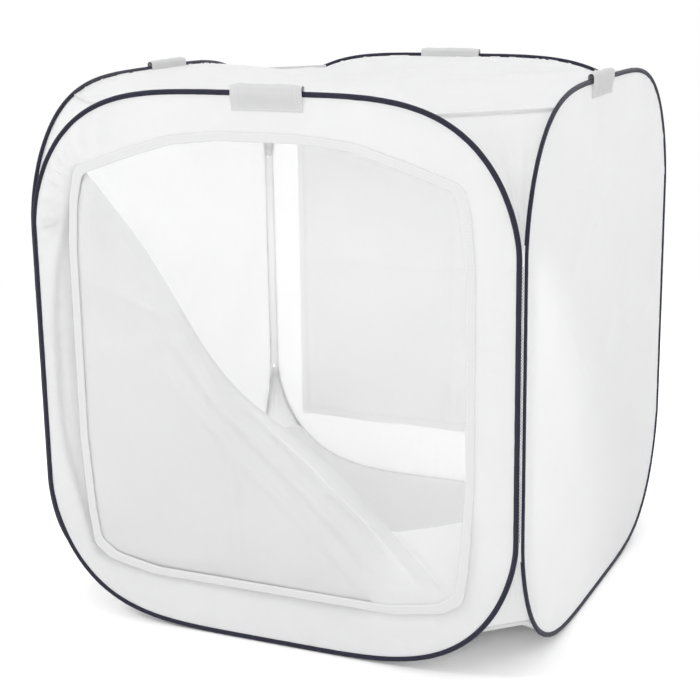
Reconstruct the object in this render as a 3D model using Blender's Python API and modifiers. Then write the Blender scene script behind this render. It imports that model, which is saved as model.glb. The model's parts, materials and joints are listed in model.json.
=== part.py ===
"""Pop-up light tent cube: four sprung-wire hoops covered in white cloth and sewn together down their upright
edges, with a soft top and floor, a window in the front, a cover folded back behind it and a backdrop inside.

Metres, +Z up, +X to the right seen from the front, +Y to the back. The origin is on the floor, under the
centre. Every side is drawn in one frame, as the front is, and turned about Z to its place."""
import math

import bmesh
import bpy
from mathutils import Matrix, Vector

# Driving sizes
SIDE_SPAN = 0.600            # between the two sewn corner lines of a side
TENT_HEIGHT = 0.639          # over the edge bindings
BINDING_THICKNESS = 0.0046   # across a side
BINDING_LIP = 0.0031         # from the wire's centre to the edge of the folded tape
BINDING_FLAT_SHARE = 0.42    # of its radius, for each half of its flats
BORE_MOUTH_SHARE = 1.02      # the wire's bore inside it, as shares of the bore's radius
BORE_SIDE_SHARE = 1.12
BORE_SHOULDER_SHARE = 0.20
BORE_BACK_SHARE = 0.55
WIRE_DIAMETER = 0.0022
CLOTH_THICKNESS = 0.0006
STRIP_THICKNESS = 0.0004     # hook-and-loop strips and hems
CLEARANCE = 0.0003           # between pieces that touch
CORNER_GAP = 0.0003          # from a side's edge to the line that it turns on

# Rounded corner of a hoop
CORNER_RUN_SHARE = 0.4717    # of the span
CORNER_RISE_SHARE = 0.2535   # of the height
CORNER_POWER_ACROSS_SHARE = 4.13
CORNER_POWER_UP_SHARE = 1.70
CORNER_STEPS = 12
CORNER_SPREAD_POWERS = (1.5, 1.5)  # above 1, points gather at the corner's two ends

# Wire joint and its patch, at the top of each hoop
PATCH_LENGTH = 0.086
PATCH_DROP = 0.021
PATCH_WALL = 0.0012
PATCH_LIP = 0.0012
BINDING_SPLIT = 0.028
WIRE_SPLIT = 0.0006
FERRULE_LENGTH = 0.024
FERRULE_WALL = 0.0005
FERRULE_SIDES = 12
JOINT_OFFSETS = {"front": 0.013, "right": -0.030, "back": 0.008, "left": -0.021}

# Sewn corner lines
SEAM_LOW_SHARE = 0.263       # of the height
SEAM_HIGH_SHARE = 0.732
SEAM_DIAMETER = 0.0016
SEAM_SIDES = 8

# Soft top, floor and their corners
CLOTH_SETBACK = 0.0009       # from a side's inner face to the edge of the soft cloth
TOP_CORNER_CUT = 0.095       # from a corner line to where the seam across that corner leaves a hoop
FLOOR_CORNER_CUT = 0.044
TOP_SAG = 0.010
FLOOR_SAG = 0.0011
TOP_FALL_POWER_SHARE = 2.0
FLOOR_FALL_POWER_SHARE = 2.5
RING_SHARES = (1.0, 0.86, 0.66, 0.36)
EDGE_STEPS = 8
SEAM_STEPS = 3
GUSSET_TIP_INSET = 0.0005    # how far the hoop has left the corner line at a gusset's tip
GUSSET_SEAM_GAP = 0.0011
GUSSET_ROWS = 6
GUSSET_COLUMNS = 4
GUSSET_SAG_SHARE = 0.06      # of the corner seam's length

# Front window: its right half from the middle of the bottom to the middle of the top
WINDOW_HALF_WIDTH_SHARE = 0.400   # of the span
WINDOW_LOW_SHARE = 0.1127         # of the height
WINDOW_HIGH_SHARE = 0.9139
WINDOW_OUTLINE_SHARES = (
    (0.62, 0.0), (0.86, 0.02), (0.95, 0.05), (0.975, 0.13), (1.0, 0.30),
    (1.0, 0.74), (0.982, 0.85), (0.946, 0.914), (0.69, 0.955), (0.45, 0.988), (0.20, 1.0),
)
HEM_WIDTH = 0.007
FASTENER_INSET = 0.0005
FASTENER_WIDTH = 0.009

# Front cover, sewn along the window's left and lower edges and folded back inside along a slanting line
COVER_SIDE_LAP = 0.020
COVER_LOW_LAP = 0.014
COVER_TOP_LAP = 0.010
FOLD_TOP_SHARES = (-0.3967, 0.8701)   # of the span across and of the height up
FOLD_LOW_SHARES = (0.3417, 0.1659)
FLAP_CORNER_SHARES = (0.2533, 0.2504)  # where the free edge turns from the fold to the window's right edge
FLAP_CORNER_END_SHARES = (0.4500, 0.3005)
FOLD_GAP = 0.0003

# Pleats in the cover beside its fold
PLEAT_COUNT = 3
PLEAT_PITCH = 0.031
PLEAT_DEPTH = 0.005
PLEAT_FADE_SHARES = (0.28, 0.50, 0.82, 1.0)  # along the fold: where they start, are full, and end
PLEAT_MARGIN = 0.026         # clear of the window's edge, and wider than one of the cover's columns
PLEAT_EDGE = 0.020           # over which they rise inside that margin
PLEAT_ROWS = 5               # of faces, in each pleat
PLAIN_ROWS = 6
COVER_COLUMNS = 30
COVER_START_SHARE = -0.08    # of the span, along the fold
COVER_END_SHARE = 1.17

# Folding: the sides close like a parallelogram, and the soft cloth follows them
FOLD_LIMIT = math.radians(84)

# Backdrop
BACKDROP_WIDTH_SHARE = 0.8333     # of the span
BACKDROP_LOW_SHARE = 0.1346       # of the height
BACKDROP_HIGH_SHARE = 0.8998
BACKDROP_STRIP_WIDTH = 0.016

# Worked out from the driving sizes
BINDING_RADIUS = BINDING_THICKNESS / 2
WIRE_RADIUS = WIRE_DIAMETER / 2
HALF_SPAN = SIDE_SPAN / 2
CORNER_RUN = SIDE_SPAN * CORNER_RUN_SHARE
CORNER_RISE = TENT_HEIGHT * CORNER_RISE_SHARE
SEAM_LOW = TENT_HEIGHT * SEAM_LOW_SHARE
SEAM_HIGH = TENT_HEIGHT * SEAM_HIGH_SHARE
TOP_SEAM_REACH = HALF_SPAN - TOP_CORNER_CUT
FLOOR_SEAM_REACH = HALF_SPAN - FLOOR_CORNER_CUT
WINDOW_HALF_WIDTH = SIDE_SPAN * WINDOW_HALF_WIDTH_SHARE
WINDOW_LOW = TENT_HEIGHT * WINDOW_LOW_SHARE
WINDOW_HIGH = TENT_HEIGHT * WINDOW_HIGH_SHARE
HOOP_HALF = HALF_SPAN - CORNER_GAP - BINDING_RADIUS
HOOP_TOP = TENT_HEIGHT - BINDING_RADIUS
HOOP_MIDDLE = TENT_HEIGHT / 2
HOOP_PLANE = -HALF_SPAN - BINDING_RADIUS
BORE_RADIUS = WIRE_RADIUS + CLEARANCE
SLOT_HALF = CLOTH_THICKNESS / 2 + CLEARANCE
FERRULE_BORE = BORE_RADIUS + CLEARANCE / 2
FERRULE_RADIUS = FERRULE_BORE + FERRULE_WALL
PANEL_INSET = FERRULE_RADIUS + CLEARANCE
FOLD_TOP, FOLD_LOW, FLAP_CORNER, FLAP_CORNER_END = (
    Vector((SIDE_SPAN * across, TENT_HEIGHT * up))
    for across, up in (FOLD_TOP_SHARES, FOLD_LOW_SHARES, FLAP_CORNER_SHARES, FLAP_CORNER_END_SHARES)
)
OVERRUN = 0.05               # of cutters past what they cut
MERGE_DISTANCE = 0.00001

TURNS = {"front": 0, "right": 90, "back": 180, "left": 270}
HINGE_SHARES = {"front": -1, "right": 1, "back": 0, "left": -1}

NYLON_WHITE = (0.83, 0.84, 0.86)
NYLON_INNER = (0.86, 0.87, 0.89)
TAPE_WHITE = (0.88, 0.88, 0.90)
BINDING_BLACK = (0.012, 0.012, 0.022)
SPRING_STEEL = (0.45, 0.46, 0.48)


def collection(name):
    made = bpy.data.collections.new(name)
    bpy.context.scene.collection.children.link(made)
    return made


def material(name, colour, roughness, metallic=0.0):
    made = bpy.data.materials.new(name)
    made.use_nodes = True
    shader = made.node_tree.nodes["Principled BSDF"]
    shader.inputs["Base Color"].default_value = (*colour, 1.0)
    shader.inputs["Roughness"].default_value = roughness
    shader.inputs["Metallic"].default_value = metallic
    return made


def add(obj, finish=None, guide=False):
    """Links an object, with its own material, to the tent or, for a guide, to the guides."""
    (guides if guide else tent).objects.link(obj)
    if guide:
        obj.hide_render = True
        obj.display_type = "WIRE"
    if finish:
        obj.data.materials.append(material(obj.name, *finish))
    return obj


def mesh_object(name, shape, finish=None, guide=False):
    """An object from a bmesh, which is freed."""
    mesh = bpy.data.meshes.new(name)
    shape.to_mesh(mesh)
    shape.free()
    return add(bpy.data.objects.new(name, mesh), finish, guide)


def place(obj, side, depth=0.0, turn=(0.0, 0.0, 0.0), across=0.0, up=0.0):
    """Hangs an object on a side: depth is measured inwards from the plane of the hoop's wire."""
    hinge_x = HINGE_SHARES[side] * HALF_SPAN
    obj.parent = hinges[side]
    obj.location = (across - hinge_x, HOOP_PLANE + depth + HALF_SPAN * (side != "back"), up)
    obj.rotation_euler = turn
    return obj


UPRIGHT = (math.radians(90), 0.0, 0.0)
LENGTHWISE = (math.radians(90), 0.0, math.radians(90))


# Outline of a hoop
def hoop_height(x, inset=0.0):
    """Height of the hoop's top line over a point x from its middle."""
    run, rise = CORNER_RUN - inset, CORNER_RISE - inset
    reach = max(abs(x) - (HOOP_HALF - inset - run), 0.0) / run
    fill = (1 - min(reach, 1.0) ** CORNER_POWER_ACROSS_SHARE) ** (1 / CORNER_POWER_UP_SHARE)
    return HOOP_TOP - inset - rise * (1 - fill)


def hoop_width(z):
    """Half width of the hoop at a height above its straight sides."""
    climb = max(z - (HOOP_TOP - CORNER_RISE), 0.0) / CORNER_RISE
    fill = (1 - min(climb, 1.0) ** CORNER_POWER_UP_SHARE) ** (1 / CORNER_POWER_ACROSS_SHARE)
    return HOOP_HALF - CORNER_RUN * (1 - fill)


def corner_points(inset=0.0):
    """The upper right corner, from the top line to the straight side."""
    run, rise = CORNER_RUN - inset, CORNER_RISE - inset
    points = []
    for step in range(CORNER_STEPS + 1):
        share = (1 - (step / CORNER_STEPS) ** CORNER_SPREAD_POWERS[0]) ** CORNER_SPREAD_POWERS[1]
        angle = math.pi / 2 * share
        across = run * abs(math.cos(angle)) ** (2 / CORNER_POWER_ACROSS_SHARE)
        up = rise * math.sin(angle) ** (2 / CORNER_POWER_UP_SHARE)
        points.append((HOOP_HALF - inset - run + across, HOOP_TOP - inset - rise + up))
    return points


def hoop_outline(inset=0.0):
    """The whole hoop, clockwise from the upper right corner to the upper left one."""
    right = corner_points(inset)
    right = right + [(x, TENT_HEIGHT - z) for x, z in reversed(right)]
    return right + [(-x, z) for x, z in reversed(right)]


def hoop_run(middle, split):
    """The hoop as an open line that starts and ends at a split in its top."""
    start, end = middle + split / 2, middle - split / 2
    line = [(x, z) for x, z in hoop_outline() if z < HOOP_MIDDLE or (x > start if x > 0.0 else x < end)]
    return [(start, hoop_height(start))] + line + [(end, hoop_height(end))]


# Building blocks
def flat_curve(name, outlines, closed=True):
    """A 2D curve through one or more outlines."""
    curve = bpy.data.curves.new(name, "CURVE")
    curve.dimensions = "2D"
    for outline in outlines:
        spline = curve.splines.new("POLY")
        spline.points.add(len(outline) - 1)
        for point, (x, y) in zip(spline.points, outline):
            point.co = (x, y, 0.0, 1.0)
        spline.use_cyclic_u = closed
    return curve


def sheet(name, outlines, thickness, finish, guide=False):
    """A flat outline, with any holes, of a given thickness."""
    curve = flat_curve(name, outlines)
    curve.fill_mode = "BOTH"
    curve.extrude = thickness / 2
    return add(bpy.data.objects.new(name, curve), finish, guide)


def as_mesh(obj):
    """The same object as a welded mesh, which can be cut."""
    bpy.context.view_layer.update()
    name = obj.name
    seen = obj.evaluated_get(bpy.context.evaluated_depsgraph_get())
    mesh = bpy.data.meshes.new_from_object(seen)
    shape = bmesh.new()
    shape.from_mesh(mesh)
    bmesh.ops.remove_doubles(shape, verts=shape.verts, dist=MERGE_DISTANCE)
    shape.to_mesh(mesh)
    shape.free()
    made = bpy.data.objects.new(name, mesh)
    obj.users_collection[0].objects.link(made)
    made.parent, made.location, made.rotation_euler = obj.parent, obj.location, obj.rotation_euler
    made.hide_render, made.display_type = obj.hide_render, obj.display_type
    bpy.data.objects.remove(obj)
    made.name = name
    return made


def boolean(obj, cutter, operation):
    step = obj.modifiers.new(operation.lower(), "BOOLEAN")
    step.operation = operation
    step.object = cutter
    return obj


def thicken(obj, thickness):
    step = obj.modifiers.new("thickness", "SOLIDIFY")
    step.thickness = thickness
    step.offset = 0.0
    return obj


# Edge of a side: wire, crimped joint, folded binding and white patch
def binding_profile():
    """Folded tape round the wire, open towards the panel. X runs from the outside towards the panel."""
    lip, radius, flat = BINDING_LIP, BINDING_RADIUS, BINDING_RADIUS * BINDING_FLAT_SHARE
    side = BORE_RADIUS * BORE_SIDE_SHARE
    half = [
        (lip, SLOT_HALF), (BORE_RADIUS * BORE_MOUTH_SHARE, SLOT_HALF), (side * BORE_SHOULDER_SHARE, side),
        (-side, side * BORE_BACK_SHARE), (-radius, flat), (-flat, radius), (flat, radius), (lip, flat),
    ]
    inside, outside = half[:4], half[4:]
    return inside + [(x, -y) for x, y in reversed(inside)] + (
        [(x, -y) for x, y in reversed(outside)] + list(outside))


def edge_binding(side, profile):
    curve = flat_curve(side + "_edge_binding", [hoop_run(JOINT_OFFSETS[side], BINDING_SPLIT)], closed=False)
    curve.bevel_mode = "OBJECT"
    curve.bevel_object = profile
    curve.use_fill_caps = True
    obj = add(bpy.data.objects.new(curve.name, curve), (BINDING_BLACK, 0.62))
    return place(obj, side, turn=UPRIGHT)


def spring_wire(side):
    curve = flat_curve(side + "_spring_wire", [hoop_run(JOINT_OFFSETS[side], WIRE_SPLIT)], closed=False)
    curve.dimensions = "3D"
    curve.bevel_depth = WIRE_RADIUS
    curve.bevel_resolution = 1
    curve.use_fill_caps = True
    obj = add(bpy.data.objects.new(curve.name, curve), (SPRING_STEEL, 0.35, 1.0))
    return place(obj, side, turn=UPRIGHT)


def wire_ferrule(side):
    """A crimped sleeve over the two ends of the wire."""
    shape = bmesh.new()
    for radius in (FERRULE_BORE, FERRULE_RADIUS):
        bmesh.ops.create_circle(shape, segments=FERRULE_SIDES, radius=radius)
    bmesh.ops.bridge_loops(shape, edges=shape.edges)
    bmesh.ops.translate(shape, verts=shape.verts, vec=(0.0, 0.0, -FERRULE_LENGTH / 2))
    pushed = bmesh.ops.extrude_face_region(shape, geom=shape.faces[:])["geom"]
    raised = [item for item in pushed if isinstance(item, bmesh.types.BMVert)]
    bmesh.ops.translate(shape, verts=raised, vec=(0.0, 0.0, FERRULE_LENGTH))
    bmesh.ops.recalc_face_normals(shape, faces=shape.faces)
    obj = mesh_object(side + "_wire_ferrule", shape, (SPRING_STEEL, 0.4, 1.0))
    middle = JOINT_OFFSETS[side]
    return place(obj, side, turn=LENGTHWISE, across=middle, up=hoop_height(middle))


def joint_patch(side):
    """White cloth folded over the gap in the binding: a long leg outside and a short lip inside."""
    near = BINDING_RADIUS + CLEARANCE
    far = near + PATCH_WALL
    outline = [
        (-far, -PATCH_DROP), (-near, -PATCH_DROP), (-near, CLEARANCE), (near, CLEARANCE), (near, -PATCH_LIP),
        (far, -PATCH_LIP), (far, CLEARANCE), (near, CLEARANCE + PATCH_WALL), (-near, CLEARANCE + PATCH_WALL),
        (-far, CLEARANCE),
    ]
    obj = sheet(side + "_joint_patch", [outline], PATCH_LENGTH, (TAPE_WHITE, 0.8))
    return place(obj, side, turn=LENGTHWISE, across=JOINT_OFFSETS[side], up=TENT_HEIGHT)


def corner_seam(name, side, hinge_share):
    """The thread that joins two bindings, on the line that they turn on."""
    shape = bmesh.new()
    bmesh.ops.create_cone(shape, cap_ends=True, segments=SEAM_SIDES, radius1=SEAM_DIAMETER / 2,
                          radius2=SEAM_DIAMETER / 2, depth=SEAM_HIGH - SEAM_LOW)
    obj = mesh_object(name, shape, (BINDING_BLACK, 0.7))
    return place(obj, side, depth=BINDING_RADIUS, across=hinge_share * HALF_SPAN, up=(SEAM_LOW + SEAM_HIGH) / 2)


# Window, cover and backdrop
def window_outline(aside=0.0, below=0.0, above=0.0):
    """The window's outline, grown at its sides, below and above."""
    low, high = WINDOW_LOW - below, WINDOW_HIGH + above
    half = [((WINDOW_HALF_WIDTH + aside) * x, low + (high - low) * z) for x, z in WINDOW_OUTLINE_SHARES]
    return half + [(-x, z) for x, z in reversed(half)]


def ring(name, inner, outer, thickness, finish):
    """A flat band round the window, between two growths of its outline."""
    outlines = [window_outline(growth, growth, growth) for growth in (outer, inner)]
    return sheet(name, outlines, thickness, finish)


FOLD_ALONG = (FOLD_LOW - FOLD_TOP).normalized()
FOLD_ACROSS = Vector((-FOLD_ALONG.y, FOLD_ALONG.x))
FOLD_TURN = FOLD_TOP + FOLD_ALONG * (FLAP_CORNER - FOLD_TOP).dot(FOLD_ALONG)
FREE_ALONG = (FLAP_CORNER_END - FOLD_TURN).normalized()
FREE_ACROSS = Vector((-FREE_ALONG.y, FREE_ALONG.x))


def flap_wedge(name, gap):
    """A prism over all that folds back, set in by a gap from the fold and from the free edge below it."""
    # the two shifted lines meet a little above the turn
    shift = FOLD_ACROSS * gap
    reach = (FREE_ACROSS * gap - shift).dot(FREE_ACROSS) / FOLD_ALONG.dot(FREE_ACROSS)
    meet = FOLD_TURN + shift + FOLD_ALONG * reach
    far = Vector((HOOP_HALF + OVERRUN, TENT_HEIGHT + OVERRUN))
    start = FOLD_TOP - FOLD_ALONG * OVERRUN + shift
    points = [start, meet, meet + FREE_ALONG * SIDE_SPAN, far, Vector((-far.x, far.y))]
    prism = sheet(name, [[tuple(point) for point in points]], OVERRUN, None, guide=True)
    return as_mesh(place(prism, "front", depth=COVER_DEPTH, turn=UPRIGHT))


def fold_frame():
    """Turns a piece about the fold by half a turn, from closed to folded back."""
    return Matrix.Rotation(math.pi, 4, Vector((FOLD_ALONG.x, 0.0, FOLD_ALONG.y)))


def fade(value, start, end):
    """Rises smoothly from 0 at start to 1 at end."""
    share = min(max((value - start) / (end - start), 0.0), 1.0)
    return share * share * (3 - 2 * share)


def inside_window(point):
    """Distance from a point inside the window to its nearest edge, and below 0 outside."""
    outline = [Vector(corner) for corner in window_outline()]
    gaps = []
    for start, end in zip(outline, outline[1:] + outline[:1]):
        side = (end - start).normalized()
        gaps.append((point - start).dot(Vector((-side.y, side.x))))
    return min(gaps)


def pleat_height(point):
    """How far the cover stands out: pleats beside the fold, which die out towards the window's edge."""
    below = -(point - FOLD_TOP).dot(FOLD_ACROSS)
    share = (point - FOLD_TOP).dot(FOLD_ALONG) / (FOLD_LOW - FOLD_TOP).length
    if not 0.0 < below < PLEAT_COUNT * PLEAT_PITCH:
        return 0.0
    rise, full, fall, end = PLEAT_FADE_SHARES
    along = fade(share, rise, full) * (1 - fade(share, fall, end))
    ripple = math.sin(math.pi * below / PLEAT_PITCH) ** 2
    inner = fade(inside_window(point), PLEAT_MARGIN, PLEAT_MARGIN + PLEAT_EDGE)
    return PLEAT_DEPTH * along * inner * ripple


def pleated_cover(name, outline, finish):
    """The part of the cover that stays up: a grid laid along the fold, cut to its outline and pleated."""
    pleated, plain = PLEAT_COUNT * PLEAT_PITCH, SIDE_SPAN
    stops = [SIDE_SPAN * step / PLAIN_ROWS for step in range(PLAIN_ROWS, 0, -1)]
    stops += [-pleated * step / (PLEAT_COUNT * PLEAT_ROWS) for step in range(PLEAT_COUNT * PLEAT_ROWS + 1)]
    stops += [-pleated - plain * step / PLAIN_ROWS for step in range(1, PLAIN_ROWS + 1)]
    rows = len(stops) - 1
    shape = bmesh.new()
    bmesh.ops.create_grid(shape, x_segments=COVER_COLUMNS, y_segments=rows, size=0.5)
    for vert in shape.verts:
        share = COVER_START_SHARE + (COVER_END_SHARE - COVER_START_SHARE) * (vert.co.x + 0.5)
        point = FOLD_TOP + FOLD_ALONG * SIDE_SPAN * share + FOLD_ACROSS * stops[round((vert.co.y + 0.5) * rows)]
        vert.co = (*point, 0.0)
    for start, end in zip(outline, outline[1:] + outline[:1]):
        side = Vector(end) - Vector(start)
        trim(shape, start, (side.y, -side.x), clear=True)
    fold, free = FOLD_TOP - FOLD_ACROSS * FOLD_GAP, FOLD_TURN - FREE_ACROSS * FOLD_GAP
    trim(shape, fold, FOLD_ACROSS)
    trim(shape, free, FREE_ACROSS)
    folded = []
    for face in shape.faces:
        centre = face.calc_center_median().xy
        if (centre - fold).dot(FOLD_ACROSS) > 0.0 and (centre - free).dot(FREE_ACROSS) > 0.0:
            folded.append(face)
    bmesh.ops.delete(shape, geom=folded, context="FACES")
    bmesh.ops.dissolve_degenerate(shape, dist=CLEARANCE, edges=shape.edges)
    for vert in shape.verts:
        vert.co.z = pleat_height(vert.co.xy)
    bmesh.ops.recalc_face_normals(shape, faces=shape.faces)
    return place(thicken(mesh_object(name, shape, finish), CLOTH_THICKNESS), "front", COVER_DEPTH, UPRIGHT)


def trim(shape, point, normal, clear=False):
    """Cuts a flat mesh along a line, and with clear drops what lies beyond it."""
    bmesh.ops.bisect_plane(shape, geom=shape.verts[:] + shape.edges[:] + shape.faces[:], dist=MERGE_DISTANCE,
                           plane_co=(*point, 0.0), plane_no=(*normal, 0.0), clear_outer=clear)


HEM_DEPTH = -(CLOTH_THICKNESS + STRIP_THICKNESS) / 2 - CLEARANCE
LOOP_DEPTH = (CLOTH_THICKNESS + STRIP_THICKNESS) / 2 + CLEARANCE
HOOK_DEPTH = LOOP_DEPTH + STRIP_THICKNESS + CLEARANCE
COVER_DEPTH = HOOK_DEPTH + (STRIP_THICKNESS + CLOTH_THICKNESS) / 2 + CLEARANCE
FLAP_DEPTH = COVER_DEPTH + CLOTH_THICKNESS + CLEARANCE
FOLD_DEPTH = (COVER_DEPTH + FLAP_DEPTH) / 2


def cut_at_fold(base, folds):
    """A cover or strip cut at the fold: what stays flat, or what folds back."""
    wedge = flap_wedge("flap_wedge", FOLD_GAP) if folds else flap_wedge("fixed_wedge", -FOLD_GAP)
    return as_mesh(boolean(as_mesh(base), wedge, "INTERSECT" if folds else "DIFFERENCE"))


def front_cover():
    outline = window_outline(COVER_SIDE_LAP, COVER_LOW_LAP, COVER_TOP_LAP)
    finish = (NYLON_WHITE, 0.7)
    strip_finish = (TAPE_WHITE, 0.9)
    inner, outer = FASTENER_INSET, FASTENER_INSET + FASTENER_WIDTH
    pleated_cover("cover_panel", outline, finish)
    pieces = (
        (ring("cover_hook_strip", inner, outer, STRIP_THICKNESS, strip_finish), False, HOOK_DEPTH),
        (sheet("cover_flap", [outline], CLOTH_THICKNESS, finish), True, COVER_DEPTH),
        (ring("flap_hook_strip", inner, outer, STRIP_THICKNESS, strip_finish), True, HOOK_DEPTH),
    )
    for base, folds, depth in pieces:
        made = cut_at_fold(place(base, "front", depth, UPRIGHT), folds)
        if folds:
            hang_on_fold(made)


def hang_on_fold(obj):
    """Moves a closed piece to its folded place, as a child of the hinge on the fold line."""
    bpy.context.view_layer.update()
    closed = hinges["fold"].matrix_world.inverted() @ obj.matrix_world
    obj.parent = hinges["fold"]
    obj.matrix_parent_inverse = Matrix.Identity(4)
    obj.matrix_basis = fold_frame() @ closed


def backdrop():
    """Hung by its top edge in front of the back panel."""
    half = SIDE_SPAN * BACKDROP_WIDTH_SHARE / 2
    low, high = TENT_HEIGHT * BACKDROP_LOW_SHARE, TENT_HEIGHT * BACKDROP_HIGH_SHARE
    strip = high - BACKDROP_STRIP_WIDTH

    def rectangle(bottom):
        return [(-half, bottom), (half, bottom), (half, high), (-half, high)]

    tape, cloth = (STRIP_THICKNESS, (TAPE_WHITE, 0.9)), (CLOTH_THICKNESS, (NYLON_INNER, 0.75))
    for name, bottom, make, depth in (("backdrop_loop_strip", strip, tape, LOOP_DEPTH),
                                      ("backdrop_hook_strip", strip, tape, HOOK_DEPTH),
                                      ("backdrop", low, cloth, COVER_DEPTH)):
        place(sheet(name, [rectangle(bottom)], *make), "back", depth, UPRIGHT)


# Soft top and floor
def soft_edge(reach, height):
    """The edge of the top or floor, once round: along each hoop, then across the corner."""
    edge = []
    limit = HALF_SPAN - CLOTH_SETBACK
    for turn in range(4):
        quarter = Matrix.Rotation(math.radians(90) * turn, 3, "Z")
        for step in range(EDGE_STEPS + 1):
            x = reach * (2 * step / EDGE_STEPS - 1)
            edge.append(quarter @ Vector((x, -limit, height(x))))
        seam = Vector((reach, -limit, height(reach))), Vector((limit, -reach, height(reach)))
        for step in range(1, SEAM_STEPS):
            edge.append(quarter @ seam[0].lerp(seam[1], step / SEAM_STEPS))
    return edge


def soft_sheet(name, reach, height, sag, fall_power):
    """A disc bent so that its rim follows the hoops and its middle lies sag away from them."""
    edge = soft_edge(reach, height)
    middle = height(0.0) - sag
    shape = bmesh.new()
    loops = []
    for ring_share in RING_SHARES:
        circle = bmesh.ops.create_circle(shape, segments=len(edge), radius=reach)["verts"]
        rise = ring_share ** fall_power
        for vert, rim in zip(circle, edge):
            vert.co = (rim.x * ring_share, rim.y * ring_share, middle + (rim.z - middle) * rise)
        loops.append(circle)
    for outer, inner in zip(loops, loops[1:]):
        both = outer + inner
        links = [link for link in shape.edges if link.verts[0] in both and link.verts[1] in both]
        bmesh.ops.bridge_loops(shape, edges=[link for link in links if len(link.link_faces) < 2])
    bmesh.ops.contextual_create(shape, geom=loops[-1])
    bmesh.ops.poke(shape, faces=[face for face in shape.faces if len(face.verts) > 4])
    bmesh.ops.recalc_face_normals(shape, faces=shape.faces)
    return soft(name, shape)


def soft(name, shape):
    """Gives soft cloth its thickness and hangs it on the line that it follows the folding sides about."""
    obj = thicken(mesh_object(name, shape, (NYLON_WHITE, 0.7)), CLOTH_THICKNESS)
    obj.parent = hinges["canopy"]
    obj.matrix_parent_inverse = Matrix.Translation(-hinges["canopy"].location)
    return obj


def canopy_pivot():
    """Half the folding turn about this point carries the tent's centre from its open to its folded place."""
    half = SIDE_SPAN * math.sin(FOLD_LIMIT / 2) / 2
    back = half / math.tan(FOLD_LIMIT / 4)
    across, up = math.cos(FOLD_LIMIT / 2), math.sin(FOLD_LIMIT / 2)
    return Vector((half * across - back * up, half * up + back * across, 0.0))


def gusset(name, turn, low, high, flip):
    """A corner of the top, or flipped of the floor: level lines between two hoops, sagging in a little."""
    limit = HALF_SPAN - CLOTH_SETBACK
    shape = bmesh.new()
    bmesh.ops.create_grid(shape, x_segments=GUSSET_COLUMNS, y_segments=GUSSET_ROWS, size=0.5)
    longest = (limit - hoop_width(high)) * math.sqrt(2)
    for vert in shape.verts:
        across, climb = vert.co.x + 0.5, vert.co.y + 0.5
        z = low + (high - low) * climb
        width = hoop_width(z)
        start, end = Vector((width, -limit)), Vector((limit, -width))
        point = start.lerp(end, across)
        inward = Vector((-1.0, 1.0)).normalized()
        point += inward * longest * GUSSET_SAG_SHARE * math.sin(math.pi * across) * math.sin(math.pi * climb)
        vert.co = (point.x, point.y, TENT_HEIGHT - z if flip else z)
    bmesh.ops.rotate(shape, verts=shape.verts, matrix=Matrix.Rotation(math.radians(90) * turn, 3, "Z"))
    bmesh.ops.recalc_face_normals(shape, faces=shape.faces)
    return soft(name, shape)


def gusset_tip():
    """Height at which the hoops have parted enough for a gusset to start between them."""
    fill = (1 - GUSSET_TIP_INSET / CORNER_RUN) ** CORNER_POWER_ACROSS_SHARE
    return HOOP_TOP - CORNER_RISE + CORNER_RISE * (1 - fill) ** (1 / CORNER_POWER_UP_SHARE)


# The build
for old in list(bpy.data.objects):
    bpy.data.objects.remove(old)
tent = collection("light_tent_cube")
guides = collection("guides")

hinges = {}
for side, degrees in TURNS.items():
    hinge = bpy.data.objects.new(side + "_hinge", None)
    tent.objects.link(hinge)
    spin = Matrix.Rotation(math.radians(degrees), 4, "Z")
    on_axis = (HINGE_SHARES[side] * HALF_SPAN, -HALF_SPAN if side != "back" else 0.0, 0.0)
    hinge.location = spin @ Vector(on_axis)
    hinge.rotation_euler = (0.0, 0.0, math.radians(degrees))
    hinges[side] = hinge
for name in ("fold", "canopy"):
    hinges[name] = bpy.data.objects.new(name + "_hinge", None)
    tent.objects.link(hinges[name])
place(hinges["fold"], "front", depth=FOLD_DEPTH, across=FOLD_TOP.x, up=FOLD_TOP.y)
hinges["canopy"].location = canopy_pivot()

profile_curve = flat_curve("binding_profile", [binding_profile()])
profile_curve.fill_mode = "NONE"
profile_guide = add(bpy.data.objects.new("binding_profile", profile_curve), guide=True)

for side in TURNS:
    spring_wire(side)
    wire_ferrule(side)
    edge_binding(side, profile_guide)
    joint_patch(side)
    outlines = [hoop_outline(PANEL_INSET)]
    if side == "front":
        outlines.append(window_outline())
    place(sheet(side + "_panel", outlines, CLOTH_THICKNESS, (NYLON_WHITE, 0.7)), side, turn=UPRIGHT)

corner_seam("front_left_seam", "front", -1)
corner_seam("front_right_seam", "front", 1)
corner_seam("back_left_seam", "back", 1)
corner_seam("back_right_seam", "back", -1)

place(ring("window_hem", 0.0, HEM_WIDTH, STRIP_THICKNESS, (TAPE_WHITE, 0.8)), "front", HEM_DEPTH, UPRIGHT)
place(ring("window_loop_strip", FASTENER_INSET, FASTENER_INSET + FASTENER_WIDTH, STRIP_THICKNESS,
           (TAPE_WHITE, 0.9)), "front", LOOP_DEPTH, UPRIGHT)
front_cover()
backdrop()

soft_sheet("top_panel", TOP_SEAM_REACH, hoop_height, TOP_SAG, TOP_FALL_POWER_SHARE)
soft_sheet("floor_panel", FLOOR_SEAM_REACH, lambda x: TENT_HEIGHT - hoop_height(x), FLOOR_SAG,
           FLOOR_FALL_POWER_SHARE)
for turn, corner in enumerate(("front_right", "back_right", "back_left", "front_left")):
    gusset(corner + "_top_gusset", turn, gusset_tip(), hoop_height(TOP_SEAM_REACH) - GUSSET_SEAM_GAP, False)
    gusset(corner + "_floor_gusset", turn, gusset_tip(), hoop_height(FLOOR_SEAM_REACH) - GUSSET_SEAM_GAP, True)
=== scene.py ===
import json
import math

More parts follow.
